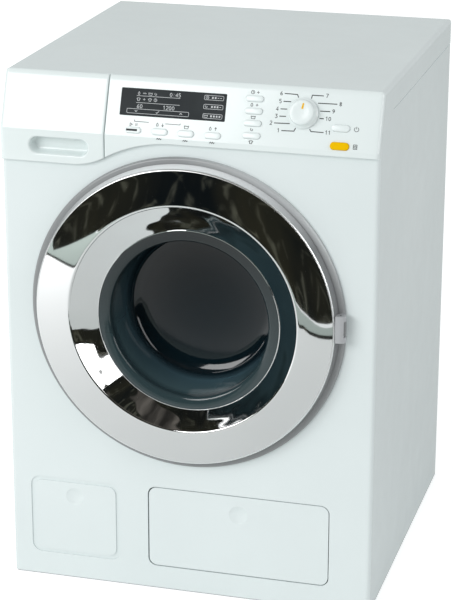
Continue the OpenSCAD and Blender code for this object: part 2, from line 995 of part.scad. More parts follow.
module drum() {
    y0 = -76;
    y1 = 20;
    skin = 1.5;
    row_n = 18;
    color(steel)
        difference() {
            turned([
                [drum_mouth_r, y0],
                [drum_r - 1, y0],
                [drum_r, y0 + 1],
                [drum_r, y1],
                [shaft_r + 0.02, y1],
                [shaft_r + 0.02, y1 - 6],
                [9, y1 - 6],
                [9, y1 - skin],
                [drum_r - skin, y1 - skin],
                [drum_r - skin, y0 + skin],
                [drum_mouth_r, y0 + skin]
            ]);
            for (y = [-60:15:0])
                for (k = [0:row_n - 1])
                    translate([0, y, door_z])
                        rotate([0, (k + 0.5) * 360 / row_n, 0])
                            translate([0, 0, drum_r - 4])
                                cylinder(r = 1.5, h = 6);
            for (k = [0:11])
                bar_y(44 * cos(k * 30), door_z + 44 * sin(k * 30), 2, y1 - 3, y1 + 1);
            for (k = [0:7])
                bar_y(26 * cos(k * 45), door_z + 26 * sin(k * 45), 2, y1 - 3, y1 + 1);
        }
}

module drum_paddles() {
    color(grey)
        intersection() {
            bar_y(0, door_z, drum_r - 1.55, -72, 16);
            for (a = [90, 210, 330])
                translate([0, 0, door_z])
                    rotate([0, -a, 0])
                        in_xz(-72, 16)
                            polygon([[70, -8], [52, -3], [50.5, 0], [52, 3], [70, 8]]);
        }
}

module drum_shaft() {
    color(steel)
        bar_y(0, door_z, shaft_r, 14, plate_y - 2);
}

// Involute gear outline, as points about the gear's own centre
function roll_deg(r, base) = r <= base
    ? 0
    : let (t = sqrt(pow(r / base, 2) - 1)) t * 180 / PI - atan(t);
function gear_outline(teeth, start) =
    let (
        pitch_r = gear_module * teeth / 2,
        base_r = pitch_r * cos(20),
        tip_r = pitch_r + 0.8 * gear_module,
        root_r = pitch_r - 1.15 * gear_module,
        low_r = max(base_r, root_r + 0.02),
        levels = [root_r, low_r, (low_r + tip_r) / 2, tip_r],
        half = 90 / teeth - gear_play / 4 / pitch_r * 180 / PI,
        rim = half + roll_deg(pitch_r, base_r)
    )
    [
        for (k = [0:teeth - 1])
            for (side = [-1, 1])
                for (i = side < 0 ? [0:3] : [3:-1:0])
                    let (
                        r = levels[i],
                        a = start + k * 360 / teeth + side * (rim - roll_deg(r, base_r))
                    )
                    [r * cos(a), r * sin(a)]
    ];

module gear(x, z, teeth, start, y0, y1) {
    in_xz(y0, y1)
        translate([x, z])
            polygon(gear_outline(teeth, start));
}

module drum_gear() {
    color(white)
        difference() {
            gear(0, door_z, drum_teeth, 0, gear_y0, gear_y1);
            bar_y(0, door_z, shaft_r + 0.02, gear_y0 - 1, gear_y1 + 1);
        }
}

module idler_gear() {
    color(white)
        difference() {
            union() {
                gear(0, idler_z, pinion_teeth, 15, gear_y0, wheel_y0 + 0.1);
                gear(0, idler_z, idler_teeth, 5, wheel_y0, wheel_y1);
            }
            bar_y(0, idler_z, 1.55, gear_y0 - 1, wheel_y1 + 1);
        }
}

module motor_pinion() {
    color([0.8, 0.62, 0.3]) {
        gear(motor_x, motor_z, pinion_teeth, 0, wheel_y0, wheel_y1);
        bar_y(motor_x, motor_z, 1, wheel_y1 - 1, plate_y + 7);
    }
}

module idler_axle() {
    color(steel)
        bar_y(0, idler_z, 1.5, tub_y1 + 2.2, plate_y + 2);
}

module gear_plate() {
    color(grey)
        difference() {
            in_xz(plate_y, plate_y + 2)
                rounded(-34, 34, 82, 176, 5);
            bar_y(0, idler_z, 1.52, plate_y - 1, plate_y + 3);
            bar_y(motor_x, motor_z, 4.2, plate_y - 1, plate_y + 3);
            bar_y(0, door_z, 10, plate_y - 1, plate_y + 3);
            for (x = [-pillar_x, pillar_x])
                for (z = pillar_z)
                    bar_y(x, z, 1.2, plate_y - 1, plate_y + 3);
        }
}

module motor() {
    y0 = plate_y + 2.1;
    color(steel)
        difference() {
            union() {
                bar_y(motor_x, motor_z, 12, y0, y0 + 22);
                bar_y(motor_x, motor_z, 4, y0 - 2, y0 + 1);
                bar_y(motor_x, motor_z, 4, y0 + 21, y0 + 24);
            }
            bar_y(motor_x, motor_z, 1.05, y0 - 3, y0 + 6);
            for (s = [-1, 1])
                translate([motor_x, 0, motor_z])
                    block(s * 11 - 1, s * 11 + 1, y0 - 1, y0 + 23, -12, 12);
        }
}

// ---- batteries ----

module battery_box() {
    y1 = back_y - 2.6;
    color(grey)
        difference() {
            block(-bat_x - 1.5, bat_x + 1.5, bat_y0 - 1.5, y1, bat_z0 - 1.5, bat_z1 + 1.5);
            block(-bat_x, bat_x, bat_y0, y1 + 1, bat_z0, bat_z1);
        }
}

module battery_contacts() {
    color([0.8, 0.62, 0.3])
        for (s = [-1, 1])
            for (i = [0, 1])
                block(
                    s * (bat_x - 0.6) - 0.4, s * (bat_x - 0.6) + 0.4,
                    bat_y0 + 2, bat_y0 + 13,
                    bat_z0 + 2.5 + i * 16.4, bat_z0 + 13.5 + i * 16.4
                );
}

module batteries() {
    color([0.3, 0.33, 0.36])
        for (s = [-1, 1])
            for (i = [0, 1]) {
                z = bat_z0 + 8 + i * 16.4;
                x0 = s > 0 ? 1.5 : -1.5 - cell_len;
                bar_x(bat_y0 + 7.5, z, cell_r, x0, x0 + cell_len - 1.6);
                bar_x(bat_y0 + 7.5, z, 2.6, x0 + cell_len - 2, x0 + cell_len);
            }
}

module battery_cover() {
    y0 = back_y - 2.4;
    color(white)
        difference() {
            in_xz(y0, back_y - 0.8)
                rounded(-bat_x - 2.7, bat_x + 2.7, bat_z0 - 2.7, bat_z1 + 2.7, 2.7);
            for (i = [0:4])
                in_xz(back_y - 1.3, back_y)
                    translate([0, 34 + i * 2])
                        pill(16, 0.8);
            bar_y(0, 15, 1.4, y0 - 1, back_y);
        }
}

module battery_screw() {
    color(steel) {
        bar_y(0, 15, 1.3, back_y - 4.5, back_y - 0.7);
        bar_y(0, 15, 2.4, back_y - 0.8, back_y - 0.1);
    }
}

// ---- small inner pieces ----

module speaker() {
    color(dark)
        translate([-50, 20, 0])
            rotate_extrude()
                polygon([[0, 3.5], [6, 2.6], [14, 2.6], [14, 4.6], [8, 7.5], [8, 10], [0, 10]]);
}

module wire_loom() {
    x = 80;
    y = 62;
    low = 30;
    high = 240;
    color(rubber) {
        bar_x(y, low, 1.2, bat_x - 6, x);
        bar_z(x, y, 1.2, low, high);
        bar_y(x, high, 1.2, -70, y);
        for (p = [[x, y, low], [x, y, high]])
            translate(p)
                sphere(1.2);
        bar_y(bat_x - 6, low, 1.2, y, bat_y0 - 1.6);
        translate([bat_x - 6, y, low])
            sphere(1.2);
    }
}

module fill_tube() {
    color(rubber)
        difference() {
            bar_z(spigot_x, spigot_y, 6.2, 198, 216);
            bar_z(spigot_x, spigot_y, 4.7, 197, 217);
        }
}

module drain_pipe() {
    y1 = back_y - 1;
    color(rubber)
        difference() {
            union() {
                bar_z(0, drain_y, 6.2, drain_z, 72);
                bar_y(0, drain_z, 6.2, drain_y, y1);
                translate([0, drain_y, drain_z])
                    sphere(6.2);
            }
            bar_z(0, drain_y, 4.7, drain_z, 73);
            bar_y(0, drain_z, 4.6, drain_y, y1 + 1);
            translate([0, drain_y, drain_z])
                sphere(4.7);
        }
}

// ---- service flap ----

module service_flap() {
    y0 = front_y - 0.1;
    y1 = front_y + 2.4;
    color(white)
        difference() {
            union() {
                in_xz(y0, y1)
                    rounded(flap_x0, flap_x1, flap_z0, flap_z1, 4);
                bar_x(flap_axis_y, flap_axis_z, flap_barrel_r, flap_x0 + 2.4, flap_x1 - 2.6);
            }
            bar_x(flap_axis_y, flap_axis_z, pin_r + 0.05, flap_x0 - 1, flap_x1 + 1);
            dimple(25.7, 45.2, y0, 4.7, 1);
        }
}

module flap_pin() {
    color(steel)
        bar_x(flap_axis_y, flap_axis_z, pin_r, flap_x0 - 2, flap_x1 + 2);
}

module flap_box() {
    x0 = flap_x0 + 0.6;
    x1 = flap_x1 - 0.6;
    y0 = inner_front_y + 0.1;
    y1 = -50;
    color(grey)
        difference() {
            union() {
                block(x0 - 5, x1 + 5, y0, y0 + 1.4, flap_z0 - 5, flap_z1 + 5);
                block(x0, x1, y0, y1, flap_z0 + 3, flap_z1 - 0.4);
            }
            block(x0 + 1.5, x1 - 1.5, y0 - 1, y1 - 1.5, flap_z0 + 4.6, flap_z1 - 2);
            block(x0 - 1.2, x1 + 1.2, y0 - 1, y0 + 5.2, flap_z0 - 1.5, flap_z0 + 7.2);
        }
}

module base_screws() {
    color(steel)
        for (x = [-base_boss_x, base_boss_x])
            for (y = [-base_boss_y, base_boss_y]) {
                bar_z(x, y, head_r, 0.4, 1.95);
                bar_z(x, y, screw_r, 1.9, 18);
            }
}

module rear_screws() {
    y = back_y - 0.8;
    color(steel)
        for (x = [-base_boss_x, base_boss_x])
            for (z = rear_boss_z) {
                bar_y(x, z, head_r, y - 0.95, y - 0.1);
                bar_y(x, z, screw_r, y - 14, y - 0.9);
            }
}

cabinet();
base_plate();
rear_cover();
control_panel();
drawer_housing();
door_bezel();
door_seal();
tub_front();
tub_rear();
drum_bush();
gear_plate();
idler_axle();
motor();
battery_box();
battery_contacts();
batteries();
battery_cover();
battery_screw();
circuit_board();
switch_pads();
display_lens();
display_module();
speaker();
wire_loom();
fill_tube();
drain_pipe();
door_catch();
flap_box();
flap_pin();
base_screws();
rear_screws();
tub_screws();
board_screws();
drawer_front();
drawer_tray();
door_ring();
door_funnel();
door_glass();
door_back();
hinge_block();
hinge_pin();
door_screws();
drum();
drum_paddles();
drum_shaft();
drum_gear();
idler_gear();
motor_pinion();
programme_knob();
start_button();
fill_button();
wash_button();
drain_button();
option_button(0);  // option_button_1
option_button(1);  // option_button_2
option_button(2);  // option_button_3
option_button(3);  // option_button_4
power_button();
door_button();
service_flap();
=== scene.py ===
import math

import bmesh
import bpy
from mathutils import Matrix, Vector


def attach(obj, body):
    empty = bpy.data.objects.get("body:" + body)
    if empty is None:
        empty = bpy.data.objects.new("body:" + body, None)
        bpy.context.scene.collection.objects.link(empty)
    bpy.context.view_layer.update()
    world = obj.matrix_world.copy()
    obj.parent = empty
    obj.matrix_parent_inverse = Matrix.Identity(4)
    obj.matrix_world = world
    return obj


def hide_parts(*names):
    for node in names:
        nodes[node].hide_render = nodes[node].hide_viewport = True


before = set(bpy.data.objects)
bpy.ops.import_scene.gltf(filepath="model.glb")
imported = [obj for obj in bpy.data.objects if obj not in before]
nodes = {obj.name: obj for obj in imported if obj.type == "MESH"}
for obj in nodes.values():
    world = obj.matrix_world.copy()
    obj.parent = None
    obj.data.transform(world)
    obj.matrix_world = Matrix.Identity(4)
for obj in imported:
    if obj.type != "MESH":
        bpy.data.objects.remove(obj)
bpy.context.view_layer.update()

MM = 0.001

# ---- sizes of the construction, in millimetres, as the CAD part has them ----

CABINET_W, CABINET_D, CABINET_H = 185.0, 182.0, 261.0
SIDE_X = CABINET_W / 2
FRONT_Y = -CABINET_D / 2
CREASE_Z, CREASE_R = 234.5, 1.4
LEAN = math.radians(21)
FASCIA_PROUD, FASCIA_T, FASCIA_LIP = 2.3, 3.0, 0.6
FASCIA_Y = FRONT_Y - FASCIA_PROUD
CORNER_Y = FASCIA_Y + (CABINET_H - CREASE_Z) * math.tan(LEAN)
TOP_BEND, TOP_RUN = 2.7, 1.7
TOP_EDGE_Y = CORNER_Y + TOP_RUN
SEAM_LOW_Z, SEAM_HIGH_Z = 218.4, 231.5
SEAM_R1, SEAM_R2 = 33.0, 66.0
SEAM_END_X = -7.0
SEAM_GAP = 0.22
DRAWER_GAP_X = -40.0
PANEL_GAP = 0.26
GRIP_X0, GRIP_X1, GRIP_Z, GRIP_H = -77.7, -48.2, 226.9, 7.9
GRIP_X, GRIP_W = (GRIP_X0 + GRIP_X1) / 2, GRIP_X1 - GRIP_X0
GRIP_LIP = 0.9

DOOR_Z = 147.4
BEZEL_R, BEZEL_SPIGOT_R, BEZEL_BORE_R, BEZEL_H = 78.4, 71.6, 69.6, 2.2
BEZEL_TOP_Y = FRONT_Y - BEZEL_H
RING_FOOT_R, RING_R, RING_EDGE_H = 75.5, 74.3, 7.5
ROLL_Y = FRONT_Y - RING_EDGE_H
LIP_R, LIP_H = 56.7, 10.2
LIP_Y, LIP_ROLL = FRONT_Y - LIP_H, 0.75
FUNNEL_R, FUNNEL_BELL, FUNNEL_WALL = 45.6, 0.05, 1.1
GLASS_DROP, GLASS_H = 3.6, -1.0
MOUTH_Y = FRONT_Y - GLASS_H
MOUTH_Z = DOOR_Z - GLASS_DROP
BOWL_DEPTH = 33

KNOB_X, KNOB_S, KNOB_R, KNOB_CAP_R, KNOB_TOP = 55.2, 16.3, 7.2, 5.8, 4.7
KNOB_HOLE_R = 3.1
DISPLAY = (-33.3, 18.2, 9.8, 22.9)
HOLE_DEPTH, HOLE_PROUD = -6, 2
BUTTON_PROUD = 0.8
BUTTON_GAP = 0.16
BUTTONS = {  # place across and up the panel, width and height
    "start_button": (-25.6, 3.0, 7.5, 2.9),
    "fill_button": (-12.8, 3.0, 7.9, 3.1),
    "wash_button": (0.0, 3.0, 7.9, 3.1),
    "drain_button": (13.0, 3.0, 7.9, 3.1),
    "option_button_1": (31.6, 21.6, 8.6, 2.9),
    "option_button_2": (31.6, 15.8, 8.6, 2.9),
    "option_button_3": (31.6, 10.1, 8.6, 2.9),
    "option_button_4": (31.6, 4.3, 8.6, 2.9),
    "power_button": (73.5, 10.6, 8.4, 3.2),
    "door_button": (73.6, 2.35, 9.0, 3.6),
}

DOOR_SEGMENTS, BOWL_SEGMENTS, KNOB_SEGMENTS = 240, 192, 96
SHARP_ANGLE = math.radians(35)

# ---- materials ----

MATS = {}
SKIN_GRAIN, SKIN_DEPTH = 1400.0, 0.04 * MM
POLISH_DEPTH = 0.03 * MM
RIPPLE_DEPTH = 0.45 * MM


class Graph:
    """Nodes of a material or of the world. An output can stand wherever a plain value can."""

    def __init__(self, tree, place):
        self.tree = tree
        self.place = self.node("TexCoord").outputs[place]

    def give(self, value, socket):
        """Puts a plain value or the output of another node into an input."""
        if isinstance(value, bpy.types.NodeSocket):
            self.tree.links.new(value, socket)
        else:
            socket.default_value = value

    def node(self, kind, **values):
        """Makes a node and gives it its values, by the names of inputs or else of properties."""
        made = self.tree.nodes.new("ShaderNode" + kind)
        for key, value in values.items():
            label = key.replace("_", " ")
            if label in made.inputs:
                self.give(value, made.inputs[label])
            else:
                setattr(made, key, value)
        return made

    def stretched(self, scale):
        return self.node("Mapping", Vector=self.place, Scale=scale).outputs["Vector"]

    def noise(self, scale, detail=3.0, rough=0.55, place=None, distortion=0.0):
        made = self.node("TexNoise", Vector=place or self.place, Scale=scale, Detail=detail,
                         Roughness=rough, Distortion=distortion)
        return made.outputs["Fac"]

    def axis(self, name):
        return self.node("SeparateXYZ", Vector=self.place).outputs[name]

    def ramp(self, source, low, high, start=0.3, end=0.7, between=()):
        """Colours along a value, from one to another by way of any placed between them."""
        made = self.node("ValToRGB", Fac=source)
        marks = made.color_ramp.elements
        for mark, at, colour in ((marks[0], start, low), (marks[1], end, high)):
            mark.position = at
            mark.color = (*colour, 1)
        for at, colour in between:
            marks.new(at).color = (*colour, 1)
        return made.outputs["Color"]

    def span(self, source, low, high, start=0.0, end=1.0):
        """Runs from low to high while the source runs from start to end."""
        made = self.node("MapRange", Value=source, From_Min=start, From_Max=end,
                         To_Min=low, To_Max=high)
        return made.outputs["Result"]

    def blend(self, kind, first, second):
        made = self.node("MixRGB", blend_type=kind, Fac=1.0, Color1=first, Color2=second)
        return made.outputs["Color"]

    def maths(self, operation, *values):
        made = self.node("Math", operation=operation)
        for value, socket in zip(values, made.inputs):
            self.give(value, socket)
        return made.outputs["Value"]

    def vector(self, operation, *values):
        made = self.node("VectorMath", operation=operation)
        for value, socket in zip(values, made.inputs):
            self.give(value, socket)
        return made.outputs["Value" if operation in ("DOT_PRODUCT", "LENGTH") else "Vector"]


class Shader(Graph):
    """A material, kept in MATS under its name."""

    def __init__(self, name):
        self.mat = MATS[name] = bpy.data.materials.new(name)
        self.mat.use_nodes = True
        super().__init__(self.mat.node_tree, "Object")
        self.bsdf = self.tree.nodes["Principled BSDF"]

    def set(self, **values):
        for key, value in values.items():
            self.give(value, self.bsdf.inputs[key.replace("_", " ")])

    def bump(self, source, strength, distance):
        made = self.node("Bump", Strength=strength, Distance=distance, Height=source)
        self.set(Normal=made.outputs["Normal"])


def moulded(name, low, high, rough, cloud=14.0, bump=0.08, **extra):
    """Moulded plastic: a faint cloudiness in the colour, uneven gloss and a fine skin."""
    s = Shader(name)
    s.set(Base_Color=s.ramp(s.noise(cloud, 2.0), low, high),
          Roughness=s.span(s.noise(cloud * 6), *rough), **extra)
    s.bump(s.noise(SKIN_GRAIN, 2.0), bump, SKIN_DEPTH)


def metal(name, low, high, rough, cloud=30.0, stretch=None, bump=0.05):
    """Metal with uneven polish; stretch draws the marks out along one axis."""
    s = Shader(name)
    if stretch:
        s.place = s.stretched(stretch)
    s.set(Base_Color=s.ramp(s.noise(cloud), low, high), Metallic=1.0,
          Roughness=s.span(s.noise(cloud * 4, 4.0), *rough))
    s.bump(s.noise(cloud * 8), bump, POLISH_DEPTH)


def print_ink(name, low, high):
    moulded(name, low, high, (0.5, 0.6), cloud=400.0, bump=0.02)


def wavy_chrome():
    """The funnel's plating, on a surface that ripples a little."""
    s = Shader("wavy_chrome")
    s.set(Base_Color=s.ramp(s.noise(9.0), (0.80, 0.81, 0.81), (0.86, 0.87, 0.87)), Metallic=1.0,
          Roughness=s.span(s.noise(40.0), 0.02, 0.05))
    s.bump(s.noise(70.0, 1.0, 0.3), 1.0, RIPPLE_DEPTH)


def silver_with_painted_light(name, grey, light, axis, faces, reach):
    """Silver paint round the door, its colour carrying painted highlight and shade. It is painted
    light where it faces along an axis, given by its angle from the right, the more so as its
    radius passes from one value to another, and is grey where it stands in painted shade."""
    s = Shader(name)
    angle = math.radians(axis)
    away = s.vector("SUBTRACT", s.place, (0, 0, DOOR_Z * MM))
    flat = s.vector("MULTIPLY", away, (1, 0, 1))
    tilt = s.vector("DOT_PRODUCT", flat, (math.cos(angle), 0, math.sin(angle)))
    painted_light_facing = s.span(tilt, 0.0, 1.0, *(v * MM for v in faces))
    rim = s.span(s.vector("LENGTH", flat), 0.0, 1.0, *(v * MM for v in reach))
    s.set(Base_Color=s.ramp(s.maths("MULTIPLY", rim, painted_light_facing), grey, light, 0.0, 1.0),
          Roughness=s.span(s.noise(80.0), 0.34, 0.42), Metallic=0.15)
    s.bump(s.noise(SKIN_GRAIN, 2.0), 0.08, SKIN_DEPTH)


def smoked_glass():
    """Smoked clear plastic: tinted and glossy. Its colour runs with depth, lighter and bluish on
    the wall and darker at the bottom, partly its tint and partly painted light and shade, and it
    is painted in shade towards the top of the bowl.
    """
    s = Shader("smoked")
    depth = s.span(s.axis("Y"), 0.0, 1.0, MOUTH_Y * MM, (MOUTH_Y + BOWL_DEPTH) * MM)
    # Painted shade: darker towards the top of the bowl, lighter towards its foot
    height = s.span(s.axis("Z"), 0.22, 1.25, (DOOR_Z + 42) * MM, (DOOR_Z - 36) * MM)
    # Along the depth: the tint, with painted light on the mouth and wall and painted shade in the
    # corner at the bottom
    tint_and_painted_shade = s.ramp(depth, (0.034, 0.058, 0.064), (0.003, 0.013, 0.019), 0.0, 1.0, (
        (0.10, (0.036, 0.064, 0.073)), (0.25, (0.090, 0.155, 0.175)),
        (0.68, (0.080, 0.150, 0.185)), (0.84, (0.004, 0.011, 0.016))))
    shaded = s.node("VectorMath", operation="SCALE", Vector=tint_and_painted_shade, Scale=height)
    cloud = s.ramp(s.noise(20.0), (0.85, 0.85, 0.85), (1.0, 1.0, 1.0))
    s.set(Base_Color=s.blend("MULTIPLY", shaded.outputs["Vector"], cloud),
          Roughness=s.span(s.noise(60.0), 0.05, 0.10),
          Specular_IOR_Level=s.span(depth, 0.7, 0.14, 0.92, 0.98),
          IOR=1.49, Transmission_Weight=0.25)


moulded("white_plastic", (0.738, 0.802, 0.803), (0.768, 0.832, 0.833), (0.20, 0.28), IOR=1.5)
moulded("white_panel", (0.765, 0.830, 0.825), (0.795, 0.860, 0.855), (0.11, 0.16), bump=0.03,
        IOR=1.5)
moulded("grey_satin", (0.40, 0.40, 0.42), (0.44, 0.44, 0.46), (0.34, 0.44), Metallic=0.2)
moulded("inner_grey", (0.30, 0.31, 0.32), (0.36, 0.37, 0.38), (0.45, 0.6))
# Near black: painted shade for the gap round the flap
moulded("gap_painted_shade", (0.045, 0.046, 0.048), (0.060, 0.062, 0.064), (0.45, 0.60))
moulded("light_silver", (0.43, 0.44, 0.455), (0.49, 0.50, 0.515), (0.30, 0.40), Metallic=0.2)
# Painted highlight and shade: the skirt is lighter where it faces up, the bezel where it faces up
# and right
silver_with_painted_light("skirt_painted_light", (0.205, 0.21, 0.215), (0.86, 0.88, 0.89),
             axis=92, faces=(38, 76), reach=(70.0, 71.0))
silver_with_painted_light("bezel_painted_light", (0.30, 0.31, 0.315), (0.52, 0.54, 0.545),
             axis=52, faces=(58, 76), reach=(72.8, 77.4))
metal("edge_silver", (0.95, 0.96, 0.96), (0.98, 0.99, 0.99), (0.35, 0.45), bump=0.02)
metal("chrome_plate", (0.80, 0.81, 0.81), (0.86, 0.87, 0.87), (0.02, 0.045), cloud=9.0, bump=0.02)
wavy_chrome()
smoked_glass()
moulded("display_dark", (0.021, 0.026, 0.029), (0.029, 0.035, 0.038), (0.50, 0.62), cloud=60.0,
        Specular_IOR_Level=0.2)
moulded("yellow_plastic", (0.82, 0.47, 0.0), (0.87, 0.52, 0.0), (0.4, 0.5), cloud=120.0,
        Specular_IOR_Level=0.03)
print_ink("ink_dark", (0.020, 0.024, 0.028), (0.032, 0.036, 0.040))
print_ink("ink_white", (0.52, 0.55, 0.56), (0.60, 0.62, 0.63))
metal("drum_metal", (0.45, 0.46, 0.47), (0.58, 0.59, 0.60), (0.22, 0.4), cloud=12.0,
      stretch=(1, 8, 1))
metal("steel", (0.50, 0.50, 0.51), (0.62, 0.62, 0.63), (0.2, 0.38), cloud=200.0)
metal("brass", (0.62, 0.44, 0.16), (0.74, 0.55, 0.24), (0.2, 0.4), cloud=200.0)
moulded("gear_plastic", (0.62, 0.60, 0.52), (0.70, 0.68, 0.60), (0.35, 0.5), cloud=60.0)
moulded("rubber_dark", (0.03, 0.03, 0.032), (0.05, 0.05, 0.053), (0.6, 0.8), cloud=60.0)
moulded("rubber_grey", (0.12, 0.12, 0.13), (0.17, 0.17, 0.18), (0.55, 0.75), cloud=60.0)
moulded("board_green", (0.02, 0.13, 0.06), (0.03, 0.18, 0.08), (0.35, 0.5), cloud=300.0)
moulded("cell_wrap", (0.05, 0.06, 0.07), (0.30, 0.22, 0.06), (0.3, 0.45), cloud=40.0)

# ---- pieces ----


def solid(name, bm):
    """An object from a bmesh in millimetres, with its faces turned outwards."""
    bmesh.ops.recalc_face_normals(bm, faces=bm.faces)
    mesh = bpy.data.meshes.new(name)
    bm.to_mesh(mesh)
    bm.free()
    mesh.transform(Matrix.Scale(MM, 4))
    made = bpy.data.objects.new(name, mesh)
    bpy.context.scene.collection.objects.link(made)
    return made


def smooth(mesh):
    mesh.shade_smooth()
    mesh.set_sharp_from_angle(angle=SHARP_ANGLE)


def piece(name, bm, body, slot, replaces=(), finish=None):
    """Makes a smooth-shaded piece and puts it on its body."""
    made = solid(name, bm)
    smooth(made.data)
    made.data.materials.append(MATS[finish or slot])
    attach(made, body)
    if replaces:
        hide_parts(*replaces)
    return made


def cut(target, bm):
    """Cuts the shapes of a bmesh in millimetres out of a piece."""
    tool = solid("cutter", bm)
    step = target.modifiers.new("cut", "BOOLEAN")
    step.object = tool
    step.operation = "DIFFERENCE"
    step.solver = "EXACT"
    graph = bpy.context.evaluated_depsgraph_get()
    done = bpy.data.meshes.new_from_object(target.evaluated_get(graph))
    target.modifiers.clear()
    target.data = done
    bpy.data.objects.remove(tool)
    smooth(done)


def loops(bm, rows, close_rows=False):
    """Joins rows of points, each a closed loop, into a skin with flat caps or a closed one."""
    made = [[bm.verts.new(p) for p in row] for row in rows]
    pairs = list(zip(made, made[1:]))
    if close_rows:
        pairs.append((made[-1], made[0]))
    for a, b in pairs:
        for i in range(len(a)):
            j = (i + 1) % len(a)
            bm.faces.new((a[i], a[j], b[j], b[i]))
    if not close_rows:
        bm.faces.new(made[0])
        bm.faces.new(made[-1])


def arc(cx, cy, r, start, end, steps):
    """Points on an arc, angles in degrees."""
    turns = [math.radians(start + (end - start) * k / steps) for k in range(steps + 1)]
    return [(cx + r * math.cos(t), cy + r * math.sin(t)) for t in turns]


def circle(r, count):
    turns = [2 * math.pi * k / count for k in range(count)]
    return [(r * math.cos(t), r * math.sin(t)) for t in turns]


def bezier(p0, p1, p2, steps):
    """Points on a curve that leaves p0 and reaches p2 along the lines to p1."""
    return [tuple((1 - t) ** 2 * a + 2 * t * (1 - t) * b + t * t * c
                  for a, b, c in zip(p0, p1, p2))
            for t in (k / steps for k in range(steps + 1))]


def rounded_rect(x0, x1, z0, z1, r, steps=8):
    """Outline points, anticlockwise."""
    corners = ((x1 - r, z1 - r, 0), (x0 + r, z1 - r, 90), (x0 + r, z0 + r, 180),
               (x1 - r, z0 + r, 270))
    return [p for cx, cz, a in corners for p in arc(cx, cz, r, a, a + 90, steps)]


def pill(w, h, steps=12):
    """A rounded bar; its ends stay just short of meeting in a point at the sides."""
    return rounded_rect(-w / 2, w / 2, -h / 2, h / 2, h / 2 - 0.001, steps)


def shifted(outline, dx, ds):
    return [(x + dx, s + ds) for x, s in outline]


OUT = Vector((0, -math.cos(LEAN), math.sin(LEAN)))
UP = Vector((0, math.sin(LEAN), math.cos(LEAN)))


def on_panel(x, s, n=0.0):
    """A point given across, up the slope and out of the leaning panel."""
    return Vector((x, FASCIA_Y, CREASE_Z)) + UP * s + OUT * n


def upright(x, z, y):
    """A point given across, up and back, for outlines on the upright front."""
    return Vector((x, y, z))


def plug(bm, outline, place, n0, n1):
    """A straight-sided tool with an outline, between two depths."""
    loops(bm, [[place(x, s, n) for x, s in outline] for n in (n0, n1)])


# ---- fascia: drawer front and control panel ----

SEAM_TURN = math.acos(1 - (SEAM_HIGH_Z - SEAM_LOW_Z) / (SEAM_R1 + SEAM_R2))
SEAM_START_X = SEAM_END_X - (SEAM_R1 + SEAM_R2) * math.sin(SEAM_TURN)
SIDE_ROUND, PANEL_ROUND, DRAWER_ROUND = 2.0, 0.35, 0.6
COLUMN_PITCH = 1.5
END_STEPS = 6


def seam_z(x):
    """Height and slope of the fascia's lower edge, which rises between two arcs."""
    r1, r2 = SEAM_R1 - SEAM_GAP, SEAM_R2 + SEAM_GAP
    mid = SEAM_START_X + r1 * math.sin(SEAM_TURN)
    if x <= SEAM_START_X:
        return SEAM_LOW_Z + SEAM_GAP, 0.0
    if x <= mid:
        d = x - SEAM_START_X
        return SEAM_LOW_Z + SEAM_R1 - math.sqrt(r1 * r1 - d * d), math.asin(d / r1)
    if x < SEAM_END_X:
        d = SEAM_END_X - x
        return SEAM_HIGH_Z - SEAM_R2 + math.sqrt(r2 * r2 - d * d), math.asin(d / r2)
    return SEAM_HIGH_Z + SEAM_GAP, 0.0


def fascia_column(x, inset):
    """The plate's section at one place: outer points with the inset taken off, then inner ones."""
    low, slope = seam_z(x)
    lift = FASCIA_LIP / math.cos(slope)
    run = CREASE_R * math.tan(LEAN / 2)
    bend_z = CABINET_H - TOP_BEND
    outer = [(FASCIA_Y + FASCIA_T - 0.4, low)]
    outer += [(FASCIA_Y + FASCIA_LIP + FASCIA_LIP * math.cos(a), low + lift + lift * math.sin(a))
              for a in [math.radians(270 - 15 * k) for k in range(7)]]
    outer += bezier((FASCIA_Y, CREASE_Z - run), (FASCIA_Y, CREASE_Z),
                    (FASCIA_Y + run * math.sin(LEAN), CREASE_Z + run * math.cos(LEAN)), 5)
    outer += bezier((FASCIA_Y + (bend_z - CREASE_Z) * math.tan(LEAN), bend_z),
                    (CORNER_Y, CABINET_H), (TOP_EDGE_Y - 0.25, CABINET_H - 0.02), 9)
    outer += [(TOP_EDGE_Y - 0.07, CABINET_H - 0.09), (TOP_EDGE_Y, CABINET_H - 0.3)]
    inner_z = CREASE_Z + (TOP_EDGE_Y - FASCIA_Y - FASCIA_T) / math.tan(LEAN)
    inner = [(TOP_EDGE_Y, inner_z), (FASCIA_Y + FASCIA_T, CREASE_Z),
             (FASCIA_Y + FASCIA_T, low + 0.5)]
    moved = []
    for i, (y, z) in enumerate(outer):
        a = outer[max(i - 1, 0)]
        b = outer[min(i + 1, len(outer) - 1)]
        ty, tz = b[0] - a[0], b[1] - a[1]
        size = math.hypot(ty, tz)
        # Only the front and the top give way at an end: the rear and the underside stay put
        moved.append((y + inset * max(0.0, tz) / size, z - inset * max(0.0, ty) / size))
    return [(x, y, z) for y, z in moved + inner]


def fascia(x0, x1, round0, round1):
    """The plate between two ends, each rounded by its own radius."""
    turns = [math.radians(90 * k / END_STEPS) for k in range(END_STEPS + 1)]
    inner0, inner1 = x0 + round0, x1 - round1
    count = max(2, int((inner1 - inner0) / COLUMN_PITCH))
    columns = [(x0 + round0 * (1 - math.cos(a)), round0 * (1 - math.sin(a))) for a in turns]
    columns += [(inner0 + (inner1 - inner0) * k / count, 0.0) for k in range(1, count)]
    columns += [(x1 - round1 * (1 - math.sin(a)), round1 * (1 - math.cos(a))) for a in turns]
    bm = bmesh.new()
    loops(bm, [fascia_column(x, inset) for x, inset in columns])
    return bm


